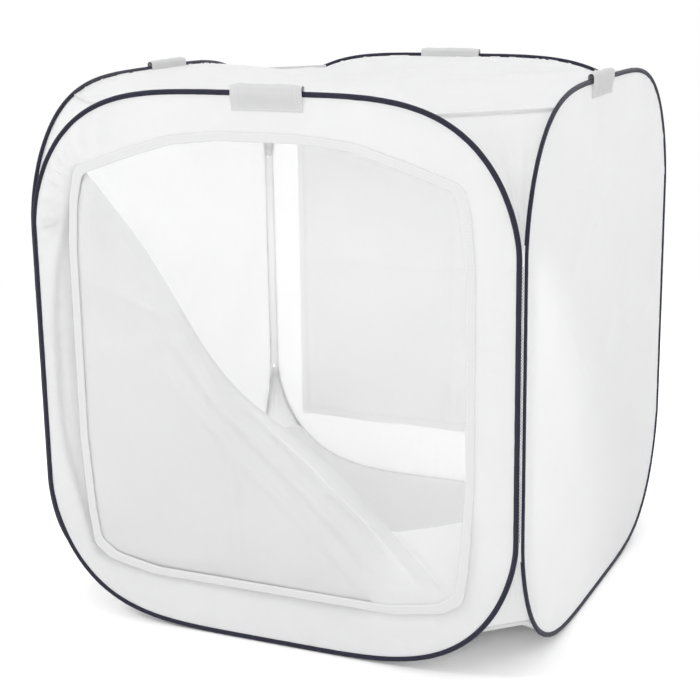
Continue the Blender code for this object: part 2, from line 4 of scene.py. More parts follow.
import bmesh
import bpy
import numpy as np
from bpy.props import FloatProperty, FloatVectorProperty, IntProperty, PointerProperty
from mathutils import Matrix, Vector, noise


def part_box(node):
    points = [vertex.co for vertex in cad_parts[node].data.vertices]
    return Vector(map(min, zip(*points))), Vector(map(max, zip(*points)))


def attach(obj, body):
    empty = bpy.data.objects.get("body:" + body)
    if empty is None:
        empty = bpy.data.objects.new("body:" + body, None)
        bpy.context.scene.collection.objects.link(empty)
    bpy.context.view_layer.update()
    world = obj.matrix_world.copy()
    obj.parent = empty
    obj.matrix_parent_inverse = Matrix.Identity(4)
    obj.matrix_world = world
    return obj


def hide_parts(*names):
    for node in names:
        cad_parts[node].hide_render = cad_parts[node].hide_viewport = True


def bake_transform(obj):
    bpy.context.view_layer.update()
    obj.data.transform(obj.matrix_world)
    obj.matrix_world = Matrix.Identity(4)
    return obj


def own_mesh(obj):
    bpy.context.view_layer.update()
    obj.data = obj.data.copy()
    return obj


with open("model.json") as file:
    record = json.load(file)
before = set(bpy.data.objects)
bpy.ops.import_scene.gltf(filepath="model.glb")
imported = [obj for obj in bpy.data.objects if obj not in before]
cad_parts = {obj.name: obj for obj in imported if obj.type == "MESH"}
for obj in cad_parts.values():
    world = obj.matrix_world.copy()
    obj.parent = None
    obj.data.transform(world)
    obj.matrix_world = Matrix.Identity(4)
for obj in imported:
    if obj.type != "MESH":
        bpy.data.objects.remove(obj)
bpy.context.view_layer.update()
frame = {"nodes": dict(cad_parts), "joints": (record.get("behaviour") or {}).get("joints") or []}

bl_info = {
    "name": "Light Tent Cube",
    "version": (1, 0, 0),
    "blender": (4, 5, 0),
    "location": "View3D > Sidebar > Light Tent",
    "description": "Cloth, tape, thread and studio for a pop-up light tent",
    "category": "Object",
}

# Places of the front hoop, which every side is drawn on before it is turned to its own place
HOOP_LOW, HOOP_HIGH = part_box("front_edge_binding")
BINDING_RADIUS = (HOOP_HIGH.y - HOOP_LOW.y) / 2
WIRE_PLANE = (HOOP_HIGH.y + HOOP_LOW.y) / 2
HOOP_HALF = HOOP_HIGH.x - BINDING_RADIUS
TENT_HEIGHT = HOOP_HIGH.z
HOOP_TOP = TENT_HEIGHT - BINDING_RADIUS
HOOP_MIDDLE = TENT_HEIGHT / 2
HALF_SPAN = -WIRE_PLANE - BINDING_RADIUS
CENTRE = Vector((0.0, HOOP_MIDDLE))

# Where the soft cloths are sewn to the tape's inner lip: inside the wire's line, and out from the middle
SEWN_INSET = 0.0024
SEWN_SPAN = -WIRE_PLANE - 0.0011

# The cloth of a side ends this far inside the wire's line, under the tape
CLOTH_INSET = 0.0014

# The straight seams across the corners of the top and the floor start this far from the ends of a side
TOP_CUT, FLOOR_CUT = 0.095, 0.044

# Powers of the curve of a hoop's rounded corner, along its top and down its side
ALONG_POWER, DOWN_POWER = 4.13, 1.70

# Narrow tapes and strips: their thickness, and the pitch of their stitches
STRIP = 0.0004
PITCH = 0.0036

# Length, width and height of a stitch's bead: in hems, in hook-and-loop strips, and in the patches
HEM_BEAD = (0.0024, 0.0005, 0.0003)
FINE_BEAD = (0.0024, 0.0004, 0.0002)
PATCH_BEAD = (0.0024, 0.0005, 0.0004)

# Points of the cover this close to a line are on it
ON_LINE = 0.00002

# The folded cover turns on this line, across and up on the front
COVER_JOINT = next(joint for joint in frame["joints"] if joint["name"] == "cover_turn")
FOLD_TOP = Vector((COVER_JOINT["pos_m"][0], COVER_JOINT["pos_m"][2]))
FOLD_ALONG = Vector((COVER_JOINT["axis"][0], COVER_JOINT["axis"][2]))
FOLD_ACROSS = Vector((-FOLD_ALONG.y, FOLD_ALONG.x))

SIDES = ("front", "right", "back", "left")
CORNERS = ("front_right", "back_right", "back_left", "front_left")

# Right half of the window from the bottom up: shares of its half width and of its height
WINDOW_SHARES = (
    (0.62, 0.0), (0.86, 0.02), (0.95, 0.05), (0.975, 0.13), (1.0, 0.30),
    (1.0, 0.74), (0.982, 0.85), (0.946, 0.914), (0.69, 0.955), (0.45, 0.988), (0.20, 1.0),
)


def length_property(name, text, value):
    return FloatProperty(name=name, description=text, default=value, unit="LENGTH", subtype="DISTANCE")


def colour_property(name, text, value):
    return FloatVectorProperty(name=name, description=text, default=value, subtype="COLOR", min=0.0, max=1.0)


class TentSizes(bpy.types.PropertyGroup):
    corner_run: length_property("Corner run", "Reach of a hoop's rounded corner along its top", 0.28302)
    corner_rise: length_property("Corner rise", "Reach of a hoop's rounded corner down its side", 0.16199)
    cloth: length_property("Cloth", "Thickness of the white cloth", 0.0005)
    tape: length_property("Tape", "Thickness of the edge tape and the patches", 0.0005)
    weave: length_property("Weave", "Distance between two threads of the cloth", 0.0006)
    slack: length_property("Slack", "How far the cloth swells out between the hoops", 0.0055)
    pucker: length_property("Pucker", "Depth of the small gathers along the edge tape", 0.0018)
    stitch: length_property("Stitch", "Distance between two stitches of the edge tape", 0.0040)
    window_half: length_property("Window half width", "From the middle of the window to its side", 0.240)
    window_low: length_property("Window low", "Height of the window's lower edge", 0.0720)
    window_high: length_property("Window high", "Height of the window's upper edge", 0.5840)
    fold_sag: length_property("Fold sag", "How far the cover's folded edge hangs in at its middle", 0.034)
    pleat: length_property("Pleat", "Depth of the pleats beside the folded edge", 0.0075)
    patch_length: length_property("Patch length", "Length of a patch over the wire's joint", 0.086)
    detail: IntProperty(
        name="Detail", description="Faces across the cloth of one side", default=112, min=16, max=180)


class TentColours(bpy.types.PropertyGroup):
    cloth: colour_property("Cloth", "White nylon of the sides, top and floor", (0.945, 0.945, 0.947))
    backdrop: colour_property("Backdrop", "Smoother cloth of the backdrop", (0.960, 0.960, 0.960))
    tape: colour_property("Tape", "White tape of the patches", (0.84, 0.84, 0.845))
    strip: colour_property("Fastener", "Hook-and-loop strips", (0.86, 0.86, 0.86))
    binding: colour_property("Binding", "Blue-black tape folded over the wire", (0.0085, 0.0085, 0.022))
    thread: colour_property("Dark thread", "Thread in the binding and the corners", (0.020, 0.020, 0.040))
    white_thread: colour_property("White thread", "Thread in the hems and patches", (0.92, 0.92, 0.92))
    steel: colour_property("Steel", "Spring wire and crimped sleeves", (0.50, 0.51, 0.53))
    floor: colour_property("Floor", "Studio floor", (0.80, 0.80, 0.80))


def sizes():
    return bpy.context.scene.tent_sizes


def colours():
    return bpy.context.scene.tent_colours


# Lines of the hoops and the window
def fade(value, start, end):
    """Rises smoothly from 0 at start to 1 at end."""
    share = min(max((value - start) / (end - start), 0.0), 1.0)
    return share * share * (3 - 2 * share)


def dense(outline, step):
    """The same closed line with points no further apart than a step."""
    points = []
    for start, end in zip(outline, outline[1:] + outline[:1]):
        count = max(1, math.ceil((end - start).length / step))
        points += [start.lerp(end, number / count) for number in range(count)]
    return points


def rounded(outline, rounds=2):
    """Cuts the corners of a closed line again and again until it runs smoothly."""
    for _ in range(rounds):
        pairs = zip(outline, outline[1:] + outline[:1])
        outline = [start.lerp(end, share) for start, end in pairs for share in (0.25, 0.75)]
    return outline


def both_halves(right):
    """A closed line from its right half."""
    return right + [Vector((-point.x, point.y)) for point in reversed(right)]


def hoop_height(x, inset=0.0):
    """Height of the hoop's wire, or of a line inside it, over a point x from its middle."""
    run, rise = sizes().corner_run - inset, sizes().corner_rise - inset
    reach = max(abs(x) - (HOOP_HALF - inset - run), 0.0) / run
    fill = (1 - min(reach, 1.0) ** ALONG_POWER) ** (1 / DOWN_POWER)
    return HOOP_TOP - inset - rise * (1 - fill)


def hoop_width(z, inset=0.0):
    """Half width of the hoop's wire, or of a line inside it, at a height above its straight sides."""
    run, rise = sizes().corner_run - inset, sizes().corner_rise - inset
    climb = max(z - (HOOP_TOP - inset - rise), 0.0) / rise
    fill = (1 - min(climb, 1.0) ** DOWN_POWER) ** (1 / ALONG_POWER)
    return HOOP_HALF - inset - run * (1 - fill)


def hoop_line(inset=0.0, steps=48):
    """The hoop's outline, clockwise from the upper end of its right corner."""
    size = sizes()
    run, rise = size.corner_run - inset, size.corner_rise - inset
    right = []
    for step in range(steps + 1):
        angle = math.pi / 2 * (1 - (step / steps) ** 1.5) ** 1.5
        across, up = math.cos(angle) ** (2 / ALONG_POWER), math.sin(angle) ** (2 / DOWN_POWER)
        right.append(Vector((HOOP_HALF - inset - run + run * across, HOOP_TOP - inset - rise + rise * up)))
    right += [Vector((point.x, TENT_HEIGHT - point.y)) for point in reversed(right)]
    return dense(both_halves(right), 0.003)


def window_outline(aside, below, above, step):
    """The window's rounded outline, anticlockwise, grown by its own distance on each edge."""
    size = sizes()
    low, high = size.window_low - below, size.window_high + above
    half = [Vector(((size.window_half + aside) * x, low + (high - low) * z)) for x, z in WINDOW_SHARES]
    return rounded(dense(both_halves(half), step))


def window_line(growth=0.0):
    return window_outline(growth, growth, growth, 0.02)


def cover_line():
    """The cover's outline: the window's, grown at the sides, below and above."""
    return window_outline(0.020, 0.014, 0.010, 0.05)


def by_angle(angles, rows):
    """A function that reads a row of values off for any direction, between those that are given."""
    order = np.argsort(angles)
    angles, rows = np.array(angles)[order], np.array(rows)[order]
    angles = np.concatenate((angles[-2:] - math.tau, angles, angles[:2] + math.tau))
    columns = np.ascontiguousarray(np.concatenate((rows[-2:], rows, rows[:2])).T)
    return lambda angle: [float(np.interp(angle, angles, column)) for column in columns]


def polar(outline):
    """A function that gives how far a closed line is from the middle of a side, for any direction."""
    points = [point - CENTRE for point in dense(outline, 0.003)]
    angles = [math.atan2(point.y, point.x) for point in points]
    reach = by_angle(angles, [(point.length,) for point in points])
    return lambda angle: reach(angle)[0]


def evenly(outline, count):
    """Points at even distances along a closed line."""
    ring = np.array([tuple(point) for point in outline + outline[:1]])
    gone = np.concatenate(((0.0,), np.cumsum(np.hypot(*np.diff(ring, axis=0).T))))
    stops = np.linspace(0.0, gone[-1], count, endpoint=False)
    return [Vector((float(np.interp(s, gone, ring[:, 0])), float(np.interp(s, gone, ring[:, 1]))))
            for s in stops]


def swirl(x, z, seed, scale):
    """Smooth noise from 0 to 1."""
    return min(max(0.5 + 0.6 * noise.noise(Vector((x / scale, z / scale, seed))), 0.0), 1.0)


class Side:
    """What the relief of a side's cloth is worked out from."""

    def __init__(self, name):
        self.name = name
        self.seed = 7.3 * (SIDES.index(name) + 1)
        self.hoop = polar(hoop_line())
        self.window = polar(window_line()) if name == "front" else None

    def edge(self, x, z):
        """Distance from a point to the hoop, and the point of the hoop beyond it."""
        offset = Vector((x, z)) - CENTRE
        angle = math.atan2(offset.y, offset.x)
        reach = self.hoop(angle)
        return reach - offset.length, CENTRE + Vector((math.cos(angle), math.sin(angle))) * reach

    def clear_of_window(self, x, z):
        offset = Vector((x, z)) - CENTRE
        return offset.length - self.window(math.atan2(offset.y, offset.x)) if self.window else HALF_SPAN

    def relief(self, x, z):
        """How far the cloth stands out from the plane of its hoop."""
        size = sizes()
        away, rim = self.edge(x, z)
        if away <= 0.0:
            return 0.0
        gathers = swirl(rim.x, rim.y, self.seed, 0.011) ** 2 * fade(away, 0.0, 0.010)
        gathers *= ((1 - fade(away, 0.012, 0.070)) * size.pucker
                    * (0.3 + 1.4 * swirl(rim.x, rim.y, 40.0, 0.12)))
        slack = swirl(x, z * 0.7, self.seed + 3.0, 0.15) * fade(away, 0.005, 0.11) * size.slack
        creases = crease(x, z, self.seed) * fade(away, 0.004, 0.05) * size.slack
        fan = self.fan(x, z) * fade(away, 0.002, 0.02)
        return gathers + (slack + creases + fan) * fade(self.clear_of_window(x, z), 0.012, 0.040)

    def fan(self, x, z):
        """Drag lines from the window's upper left corner out to the hoop."""
        if not self.window:
            return 0.0
        offset = Vector((x + 0.205, z - 0.500))
        angle = math.degrees(math.atan2(offset.y, offset.x)) % 360.0
        spread = fade(angle, 72.0, 95.0) * (1 - fade(angle, 190.0, 220.0))
        return 0.0070 * spread * math.sin(math.radians(angle * 11.0 + 40.0 * math.sin(angle * 0.09))) ** 2


def crease(x, z, seed):
    """Soft press lines from the folded tent: a few long ridges, each with its own slant."""
    total = 0.0
    for number in range(6):
        slant, aside, above = (noise.noise(Vector((seed + 1.7 * number, 3.1 * number, level)))
                               for level in (0.5, 20.5, 40.5))
        angle = math.pi * (0.5 + 1.1 * slant)
        offset = (x - 0.30 * aside) * math.cos(angle) + (z - HOOP_MIDDLE - 0.30 * above) * math.sin(angle)
        along = (x - 0.30 * aside) * -math.sin(angle) + (z - HOOP_MIDDLE - 0.30 * above) * math.cos(angle)
        bend = 0.010 * math.sin(along * 13.0 + number)
        total += math.exp(-((offset + bend) / 0.0085) ** 2) * math.exp(-(along / 0.16) ** 2)
    return 0.34 * min(total, 1.0)


# Drawing and finishing pieces
def grid(columns, rows, put, flat):
    """A sheet of faces: put(u, v) places each point, for shares 0 to 1, and flat(u, v) gives its UVs."""
    shape = bmesh.new()
    bmesh.ops.create_grid(shape, x_segments=columns, y_segments=rows, size=0.5)
    layer = shape.loops.layers.uv.new("flat")
    for face in shape.faces:
        for corner in face.loops:
            corner[layer].uv = flat(corner.vert.co.x + 0.5, corner.vert.co.y + 0.5)
    for vert in shape.verts:
        vert.co = put(vert.co.x + 0.5, vert.co.y + 0.5)
    return shape


def turned(shape, side):
    """Turns what was drawn on the front to its own side."""
    spin = Matrix.Rotation(math.radians(90 * SIDES.index(side)), 3, "Z")
    bmesh.ops.rotate(shape, verts=shape.verts, cent=(0.0, 0.0, 0.0), matrix=spin)
    return shape


def piece(name, shape, finishes, thickness=0.0, stitches=None, crisp=50.0):
    """An object from a drawn surface, with its thickness and its stitches, smooth but for its crisp edges."""
    mesh = bpy.data.meshes.new(name)
    shape.to_mesh(mesh)
    shape.free()
    obj = bpy.data.objects.new(name, mesh)
    bpy.context.scene.collection.objects.link(obj)
    if thickness:
        step = obj.modifiers.new("thickness", "SOLIDIFY")
        step.thickness = thickness
        step.offset = 0.0
        bpy.context.view_layer.update()
        seen = obj.evaluated_get(bpy.context.evaluated_depsgraph_get())
        obj.data = bpy.data.meshes.new_from_object(seen)
        obj.modifiers.clear()
    if stitches:
        both = bmesh.new()
        both.from_mesh(obj.data)
        spare = bpy.data.meshes.new(name + "_stitches")
        stitches.to_mesh(spare)
        stitches.free()
        both.from_mesh(spare)
        both.to_mesh(obj.data)
        both.free()
        bpy.data.meshes.remove(spare)
    obj.data.name = name
    for finish in finishes:
        obj.data.materials.append(finish)
    obj.data.shade_smooth()
    obj.data.set_sharp_from_angle(angle=math.radians(crisp))
    return obj


def cut_area(outline):
    """Area inside a closed flat line, for the cloth as it was cut, before it was hung."""
    pairs = zip(outline, outline[1:] + outline[:1])
    return abs(sum(start.x * end.y - end.x * start.y for start, end in pairs)) / 2


def stitch_rows(rows, length, width, height):
    """Stitches from (place, along, out) rows: one small bead, copied and stretched along the seam."""
    shape = bmesh.new()
    bmesh.ops.create_icosphere(shape, subdivisions=1, radius=0.5)
    number = shape.verts.layers.int.new("stitch")
    made = 1
    while made < len(rows):
        copied = bmesh.ops.duplicate(shape, geom=shape.verts[:] + shape.edges[:] + shape.faces[:])["geom"]
        for item in copied:
            if isinstance(item, bmesh.types.BMVert):
                item[number] += made
        made *= 2
    bmesh.ops.delete(shape, geom=[vert for vert in shape.verts if vert[number] >= len(rows)], context="VERTS")
    frames = []
    for place, along, out in rows:
        across = out.cross(along).normalized()
        frames.append((place, Matrix((along.normalized(), across, out.normalized())).transposed()))
    for vert in shape.verts:
        place, axes = frames[vert[number]]
        vert.co = place + axes @ Vector((vert.co.x * length, vert.co.y * width, vert.co.z * height))
    for face in shape.faces:
        face.material_index = 1
    return shape


def stitch_line(points, pitch, out):
    return [(place, along, out) for place, along in along_line(points, pitch)]


def along_line(points, pitch, closed=False):
    """Places and directions at a pitch along a line of 3D points."""
    line = points + points[:1] if closed else points
    result, left = [], pitch / 2
    for start, end in zip(line, line[1:]):
        length = (end - start).length
        if length < 1e-9:
            continue
        while left <= length:
            result.append((start.lerp(end, left / length), (end - start) / length))
            left += pitch
        left -= length
    return result


# Finishes
class Nodes:
    """Puts the nodes of one material together."""

    def __init__(self, name):
        self.material = bpy.data.materials.get(name)
        self.fresh = self.material is None
        if self.fresh:
            self.material = bpy.data.materials.new(name)
            self.material.use_nodes = True
            self.tree = self.material.node_tree
            self.tree.nodes.clear()
            self.spread = 0

    def add(self, kind, inputs=(), **settings):
        node = self.tree.nodes.new(kind)
        node.location = (self.spread, 0)
        self.spread += 180
        for key, value in settings.items():
            setattr(node, key, value)
        for key, value in dict(inputs).items():
            if isinstance(value, bpy.types.NodeSocket):
                self.tree.links.new(value, node.inputs[key])
            else:
                node.inputs[key].default_value = value
        return node

    def math(self, operation, first, second=0.0):
        return self.add("ShaderNodeMath", {0: first, 1: second}, operation=operation).outputs[0]

    def noise(self, where, scale, detail=3.0, roughness=0.55):
        inputs = {"Vector": where, "Scale": scale, "Detail": detail, "Roughness": roughness}
        return self.add("ShaderNodeTexNoise", inputs).outputs["Fac"]

    def bands(self, where, pitch, direction="X", distortion=0.0):
        inputs = {"Vector": where, "Scale": 0.314159 / pitch, "Distortion": distortion, "Detail": 1.0}
        return self.add("ShaderNodeTexWave", inputs, bands_direction=direction).outputs["Fac"]

    def between(self, share, first, second):
        """A colour between two, by a share from 0 to 1."""
        ramp = self.add("ShaderNodeMix", data_type="RGBA")
        self.tree.links.new(share, ramp.inputs["Factor"])
        ramp.inputs[6].default_value = (*first, 1.0)
        ramp.inputs[7].default_value = (*second, 1.0)
        return ramp.outputs[2]

    def bump(self, height, depth, strength=1.0, under=None):
        inputs = {"Height": height, "Distance": depth, "Strength": strength}
        if under is not None:
            inputs["Normal"] = under
        return self.add("ShaderNodeBump", inputs).outputs["Normal"]

    def laid_flat(self):
        return self.add("ShaderNodeUVMap", uv_map="flat").outputs["UV"]

    def surface(self, shader):
        self.add("ShaderNodeOutputMaterial", {"Surface": shader})
        return self.material

    def principled(self, tone, roughness, normal, inputs, sheerness=0.0):
        """The material with a Principled surface, through which a share of the light passes."""
        inputs = {"Base Color": tone, "Roughness": roughness, "Normal": normal, **inputs}
        shader = self.add("ShaderNodeBsdfPrincipled", inputs).outputs["BSDF"]
        if sheerness:
            through = self.add("ShaderNodeBsdfTranslucent", {"Color": tone, "Normal": normal}).outputs["BSDF"]
            shader = self.add("ShaderNodeMixShader",
                              {"Fac": sheerness, 1: shader, 2: through}).outputs["Shader"]
        return self.surface(shader)


def tint(colour, share):
    return tuple(min(channel * share, 1.0) for channel in colour)


def woven(name, colour, weave, sheerness, roughness, crinkle):
    """Thin woven cloth that lets light through: crossing threads, slight blotches and fine crinkles."""
    nodes = Nodes(name)
    if not nodes.fresh:
        return nodes.material
    flat = nodes.laid_flat()
    warp, weft = nodes.bands(flat, weave, "X"), nodes.bands(flat, weave * 1.08, "Y")
    threads = nodes.math("MULTIPLY", warp, weft)
    blotches = nodes.noise(flat, 9.0, 4.0, 0.6)
    creased = nodes.noise(flat, 17.0, 3.0, 0.5)
    ridges = nodes.math("ABSOLUTE", nodes.math("SUBTRACT", creased, 0.5))
    fine = nodes.noise(flat, 110.0, 3.0, 0.6)
    shade = nodes.math("ADD", nodes.math("MULTIPLY", blotches, 0.75), nodes.math("MULTIPLY", threads, 0.25))
    tone = nodes.between(shade, tint(colour, 0.965), tint(colour, 1.015))
    normal = nodes.bump(nodes.math("POWER", ridges, 0.6), crinkle, 0.55)
    normal = nodes.bump(fine, crinkle * 0.12, 0.8, normal)
    normal = nodes.bump(threads, weave * 0.22, 0.6, normal)
    looks = {"Sheen Weight": 0.12, "Sheen Roughness": 0.45, "Specular IOR Level": 0.35}
    return nodes.principled(tone, roughness, normal, looks, sheerness)


def white_nylon():
    return woven("white_nylon", colours().cloth, sizes().weave, 0.78, 0.62, 0.0009)


def floor_nylon():
    """The same cloth, which passes little light where it lies on the ground."""
    return woven("floor_nylon", colours().cloth, sizes().weave, 0.10, 0.62, 0.0009)


def backdrop_cloth():
    return woven("backdrop_cloth", colours().backdrop, sizes().weave * 0.8, 0.62, 0.75, 0.0005)


def hem_nylon(name="hem_nylon", share=0.70):
    """Several layers of the cloth sewn together, which pass little light. Their colour is the cloth's scaled
    by a share; the default 0.70 darkens it as painted shade, so the opaque layers render as dim as the sheer
    cloth beside them.
    """
    return woven(name, tint(colours().cloth, share), sizes().weave, 0.06, 0.62, 0.0005)


def facing_nylon():
    """The same layered cloth at about the cloth's own white, lifted a little as painted light so the shaded
    insides render pale; it lines the tapes and the corners inside the tent.
    """
    return hem_nylon("facing_nylon", 1.02)


def white_tape(name="white_tape", share=1.0):
    """Firm cotton-like tape with a clear rib across it."""
    nodes = Nodes(name)
    if not nodes.fresh:
        return nodes.material
    colour = tint(colours().tape, share)
    flat = nodes.laid_flat()
    ribs, threads = nodes.bands(flat, 0.0011, "X", 0.4), nodes.bands(flat, 0.0007, "Y")
    cross = nodes.math("MULTIPLY", ribs, threads)
    blotches = nodes.noise(flat, 60.0, 4.0, 0.6)
    shade = nodes.math("ADD", nodes.math("MULTIPLY", blotches, 0.5), nodes.math("MULTIPLY", cross, 0.5))
    tone = nodes.between(shade, tint(colour, 0.93), tint(colour, 1.03))
    normal = nodes.bump(blotches, 0.0005, 0.7)
    normal = nodes.bump(cross, 0.00018, 0.8, normal)
    return nodes.principled(tone, 0.82, normal, {"Sheen Weight": 0.2, "Specular IOR Level": 0.25}, 0.2)


def fastener(name, pitch, raised):
    """Hook-and-loop strip: dense rows of tiny tufts."""
    nodes = Nodes(name)
    if not nodes.fresh:
        return nodes.material
    colour = colours().strip
    flat = nodes.laid_flat()
    tufts = nodes.add("ShaderNodeTexVoronoi", {"Vector": flat, "Scale": 1 / pitch, "Randomness": raised})
    dots = nodes.math("SUBTRACT", 1.0, tufts.outputs["Distance"])
    fuzz = nodes.noise(flat, 900.0, 3.0, 0.7)
    tone = nodes.between(nodes.math("MULTIPLY", dots, fuzz), tint(colour, 0.80), tint(colour, 1.06))
    normal = nodes.bump(dots, 0.0005, 0.8)
    normal = nodes.bump(fuzz, 0.0003, 0.9, normal)
    return nodes.principled(tone, 0.95, normal, {"Sheen Weight": 0.4, "Specular IOR Level": 0.15})


def loop_strip():
    return fastener("loop_strip", 0.0005, 1.0)


def hook_strip():
    return fastener("hook_strip", 0.0008, 0.1)


def edge_tape():
    """Blue-black twill tape, a little worn and paler on its ridges."""
    nodes = Nodes("edge_tape")
    if not nodes.fresh:
        return nodes.material
    colour = colours().binding
    flat = nodes.laid_flat()
    slanted = nodes.add("ShaderNodeMapping", {"Vector": flat, "Rotation": (0.0, 0.0, 0.9)}).outputs["Vector"]
    twill, threads = nodes.bands(slanted, 0.0009), nodes.bands(flat, 0.0005)
    wear = nodes.noise(flat, 38.0, 5.0, 0.65)
    shade = nodes.math("MULTIPLY", nodes.math("ADD", twill, threads), nodes.math("MULTIPLY", wear, 0.6))
    tone = nodes.between(shade, tint(colour, 0.7), tint(colour, 2.1))
    rough = nodes.add("ShaderNodeMapRange", {"Value": wear, "To Min": 0.52, "To Max": 0.78}).outputs["Result"]
    normal = nodes.bump(nodes.noise(flat, 150.0, 3.0, 0.6), 0.0003, 0.6)
    normal = nodes.bump(twill, 0.00016, 0.8, normal)
    normal = nodes.bump(threads, 0.00008, 0.6, normal)
    return nodes.principled(tone, rough, normal, {"Sheen Weight": 0.06, "Specular IOR Level": 0.3})


def thread(name, colour):
    """Twisted sewing thread."""
    nodes = Nodes(name)
    if not nodes.fresh:
        return nodes.material
    place = nodes.add("ShaderNodeTexCoord").outputs["Object"]
    slanted = nodes.add("ShaderNodeMapping", {"Vector": place, "Rotation": (0.6, 0.7, 0.5)}).outputs["Vector"]
    twist = nodes.bands(slanted, 0.0005)
    fluff = nodes.noise(place, 1500.0, 2.0, 0.6)
    tone = nodes.between(nodes.math("MULTIPLY", twist, fluff), tint(colour, 0.8), tint(colour, 1.15))
    normal = nodes.bump(twist, 0.0001, 0.7)
    return nodes.principled(tone, 0.7, normal, {"Sheen Weight": 0.15, "Specular IOR Level": 0.35})


def dark_thread():
    return thread("dark_thread", colours().thread)


def white_thread():
    return thread("white_thread", colours().white_thread)


def spring_steel(name="spring_steel", shine=0.30):
    """Drawn steel: fine lines along it and small darker stains."""
    nodes = Nodes(name)
    if not nodes.fresh:
        return nodes.material
    colour = colours().steel
    place = nodes.add("ShaderNodeTexCoord").outputs["Object"]
    stains, lines = nodes.noise(place, 45.0, 5.0, 0.6), nodes.noise(place, 1200.0, 2.0, 0.5)
    tone = nodes.between(stains, tint(colour, 0.72), tint(colour, 1.1))
    rough = nodes.add("ShaderNodeMapRange", {"Value": stains, "To Min": shine, "To Max": shine + 0.2})
    return nodes.principled(tone, rough.outputs["Result"], nodes.bump(lines, 0.00004, 0.6), {"Metallic": 1.0})


def dress(obj, body, slot, *nodes, squashed=False):
    """A finished piece rides on its body and stands for its CAD nodes; its slot is not used."""
    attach(obj, body)
    if nodes:
        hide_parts(*nodes)
    if squashed:
        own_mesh(obj)
    return obj


class TentOperator:
    """What the operators share."""
    bl_options = {"REGISTER", "UNDO"}


class LIGHTTENT_OT_steel(TentOperator, bpy.types.Operator):
    """Finish the spring wires and the crimped sleeves over their ends"""
    bl_idname = "lighttent.steel"
    bl_label = "Wires and Sleeves"

    def execute(self, context):
        for side in SIDES:
            for node, finish in ((side + "_spring_wire", spring_steel()),
                                 (side + "_wire_ferrule", spring_steel("crimped_steel", 0.42))):
                obj = frame["nodes"][node]
                obj.data.materials.clear()
                obj.data.materials.append(finish)
        return {"FINISHED"}


def patch_middle(side):
    """How far a side's patch is from the middle of its hoop, as it is drawn on the front."""
    low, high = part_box(side + "_joint_patch")
    middle = (low + high) / 2
    return {"front": middle.x, "right": middle.y, "back": -middle.x, "left": -middle.y}[side]


class LIGHTTENT_OT_bindings(TentOperator, bpy.types.Operator):
    """Fold tape over each hoop's wire and cloth edge, black outside and white inside, and sew it down"""
    bl_idname = "lighttent.bindings"
    bl_label = "Edge Bindings"

    def execute(self, context):
        size = sizes()
        section = self.section(size.tape)
        lip = polar(hoop_line(SEWN_INSET - 0.0008))
        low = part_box("front_left_floor_gusset")[1].z - 0.008
        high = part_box("front_left_top_gusset")[0].z + 0.008
        for side in SIDES:
            line = self.open_line(side)
            length = sum((b - a).length for a, b in zip(line, line[1:]))
            count, rows = len(line) - 1, len(section) - 1
            seed = 11.0 * (SIDES.index(side) + 1)

            def put(u, v):
                index, row = round(u * count), round(v * rows)
                deep, out = section[row]
                ease = 0.5 + noise.noise(Vector((length * u / 0.016, row * 0.4, seed)))
                ease += 0.5 * noise.noise(Vector((length * u / 0.006, row * 0.7, seed + 5.0)))
                swell = 0.00022 * ease
                deep, out = deep + swell * (1 if deep > 0 else -0.6), out * (1 + 0.06 * ease)
                inward = self.inward(line, index)
                return (line[index].x + inward.x * deep, WIRE_PLANE - out, line[index].y + inward.y * deep)

            shape = grid(count, rows, put, lambda u, v: (u * length, v * 0.012))
            rows_of = []
            for face_out in (1, -1):
                points = []
                for index, point in enumerate(line):
                    inward = self.inward(line, index)
                    points.append(Vector((point.x + inward.x * 0.00235, WIRE_PLANE - face_out * 0.00150,
                                          point.y + inward.y * 0.00235)))
                out = Vector((0.0, -face_out, 0.0))
                rows_of += stitch_line(points, size.stitch, out)
            for face in shape.faces:
                middle = face.calc_center_median()
                offset = middle.xz - CENTRE
                covered = offset.length < lip(math.atan2(offset.y, offset.x)) or low < middle.z < high
                if covered and middle.y > WIRE_PLANE + BINDING_RADIUS * 0.2:
                    face.material_index = 2
            stitches = stitch_rows(rows_of, 0.0028, 0.0006, 0.0005)
            for face in stitches.faces:
                if face.calc_center_median().y > WIRE_PLANE:
                    face.material_index = 3
            turned(shape, side)
            turned(stitches, side)
            finishes = (edge_tape(), dark_thread(), facing_nylon(), white_thread())
            obj = piece(side + "_binding_tape", shape, finishes, size.tape, stitches)
            dress(obj, side, "binding", side + "_edge_binding")
        return {"FINISHED"}

    def section(self, tape):
        """The folded tape across the hoop as (towards the cloth, out): lip, round the wire, lip."""
        radius = BINDING_RADIUS - tape / 2
        half = [(0.0033, tape * 1.15), (0.0026, tape * 1.6), (0.0019, tape * 2.4), (0.0011, radius * 0.86)]
        arc = [(-radius * math.sin(math.radians(a)), radius * math.cos(math.radians(a)))
               for a in range(-5, 186, 19)]
        return half + arc + [(x, -y) for x, y in reversed(half)]

    def open_line(self, side):
        """The hoop with a gap at the wire's joint, at even steps from one side of the gap to the other."""
        middle = patch_middle(side)
        ring = evenly(hoop_line(), 460)
        start = min(range(len(ring)), key=lambda n: (ring[n] - Vector((middle, HOOP_TOP))).length)
        ring = ring[start:] + ring[:start]
        return [point for point in ring if point.y < HOOP_MIDDLE or abs(point.x - middle) > 0.014]

    def inward(self, line, index):
        before, after = line[max(index - 1, 0)], line[min(index + 1, len(line) - 1)]
        along = (after - before).normalized()
        across = Vector((along.y, -along.x))
        return across if across.dot(CENTRE - line[index]) > 0 else -across


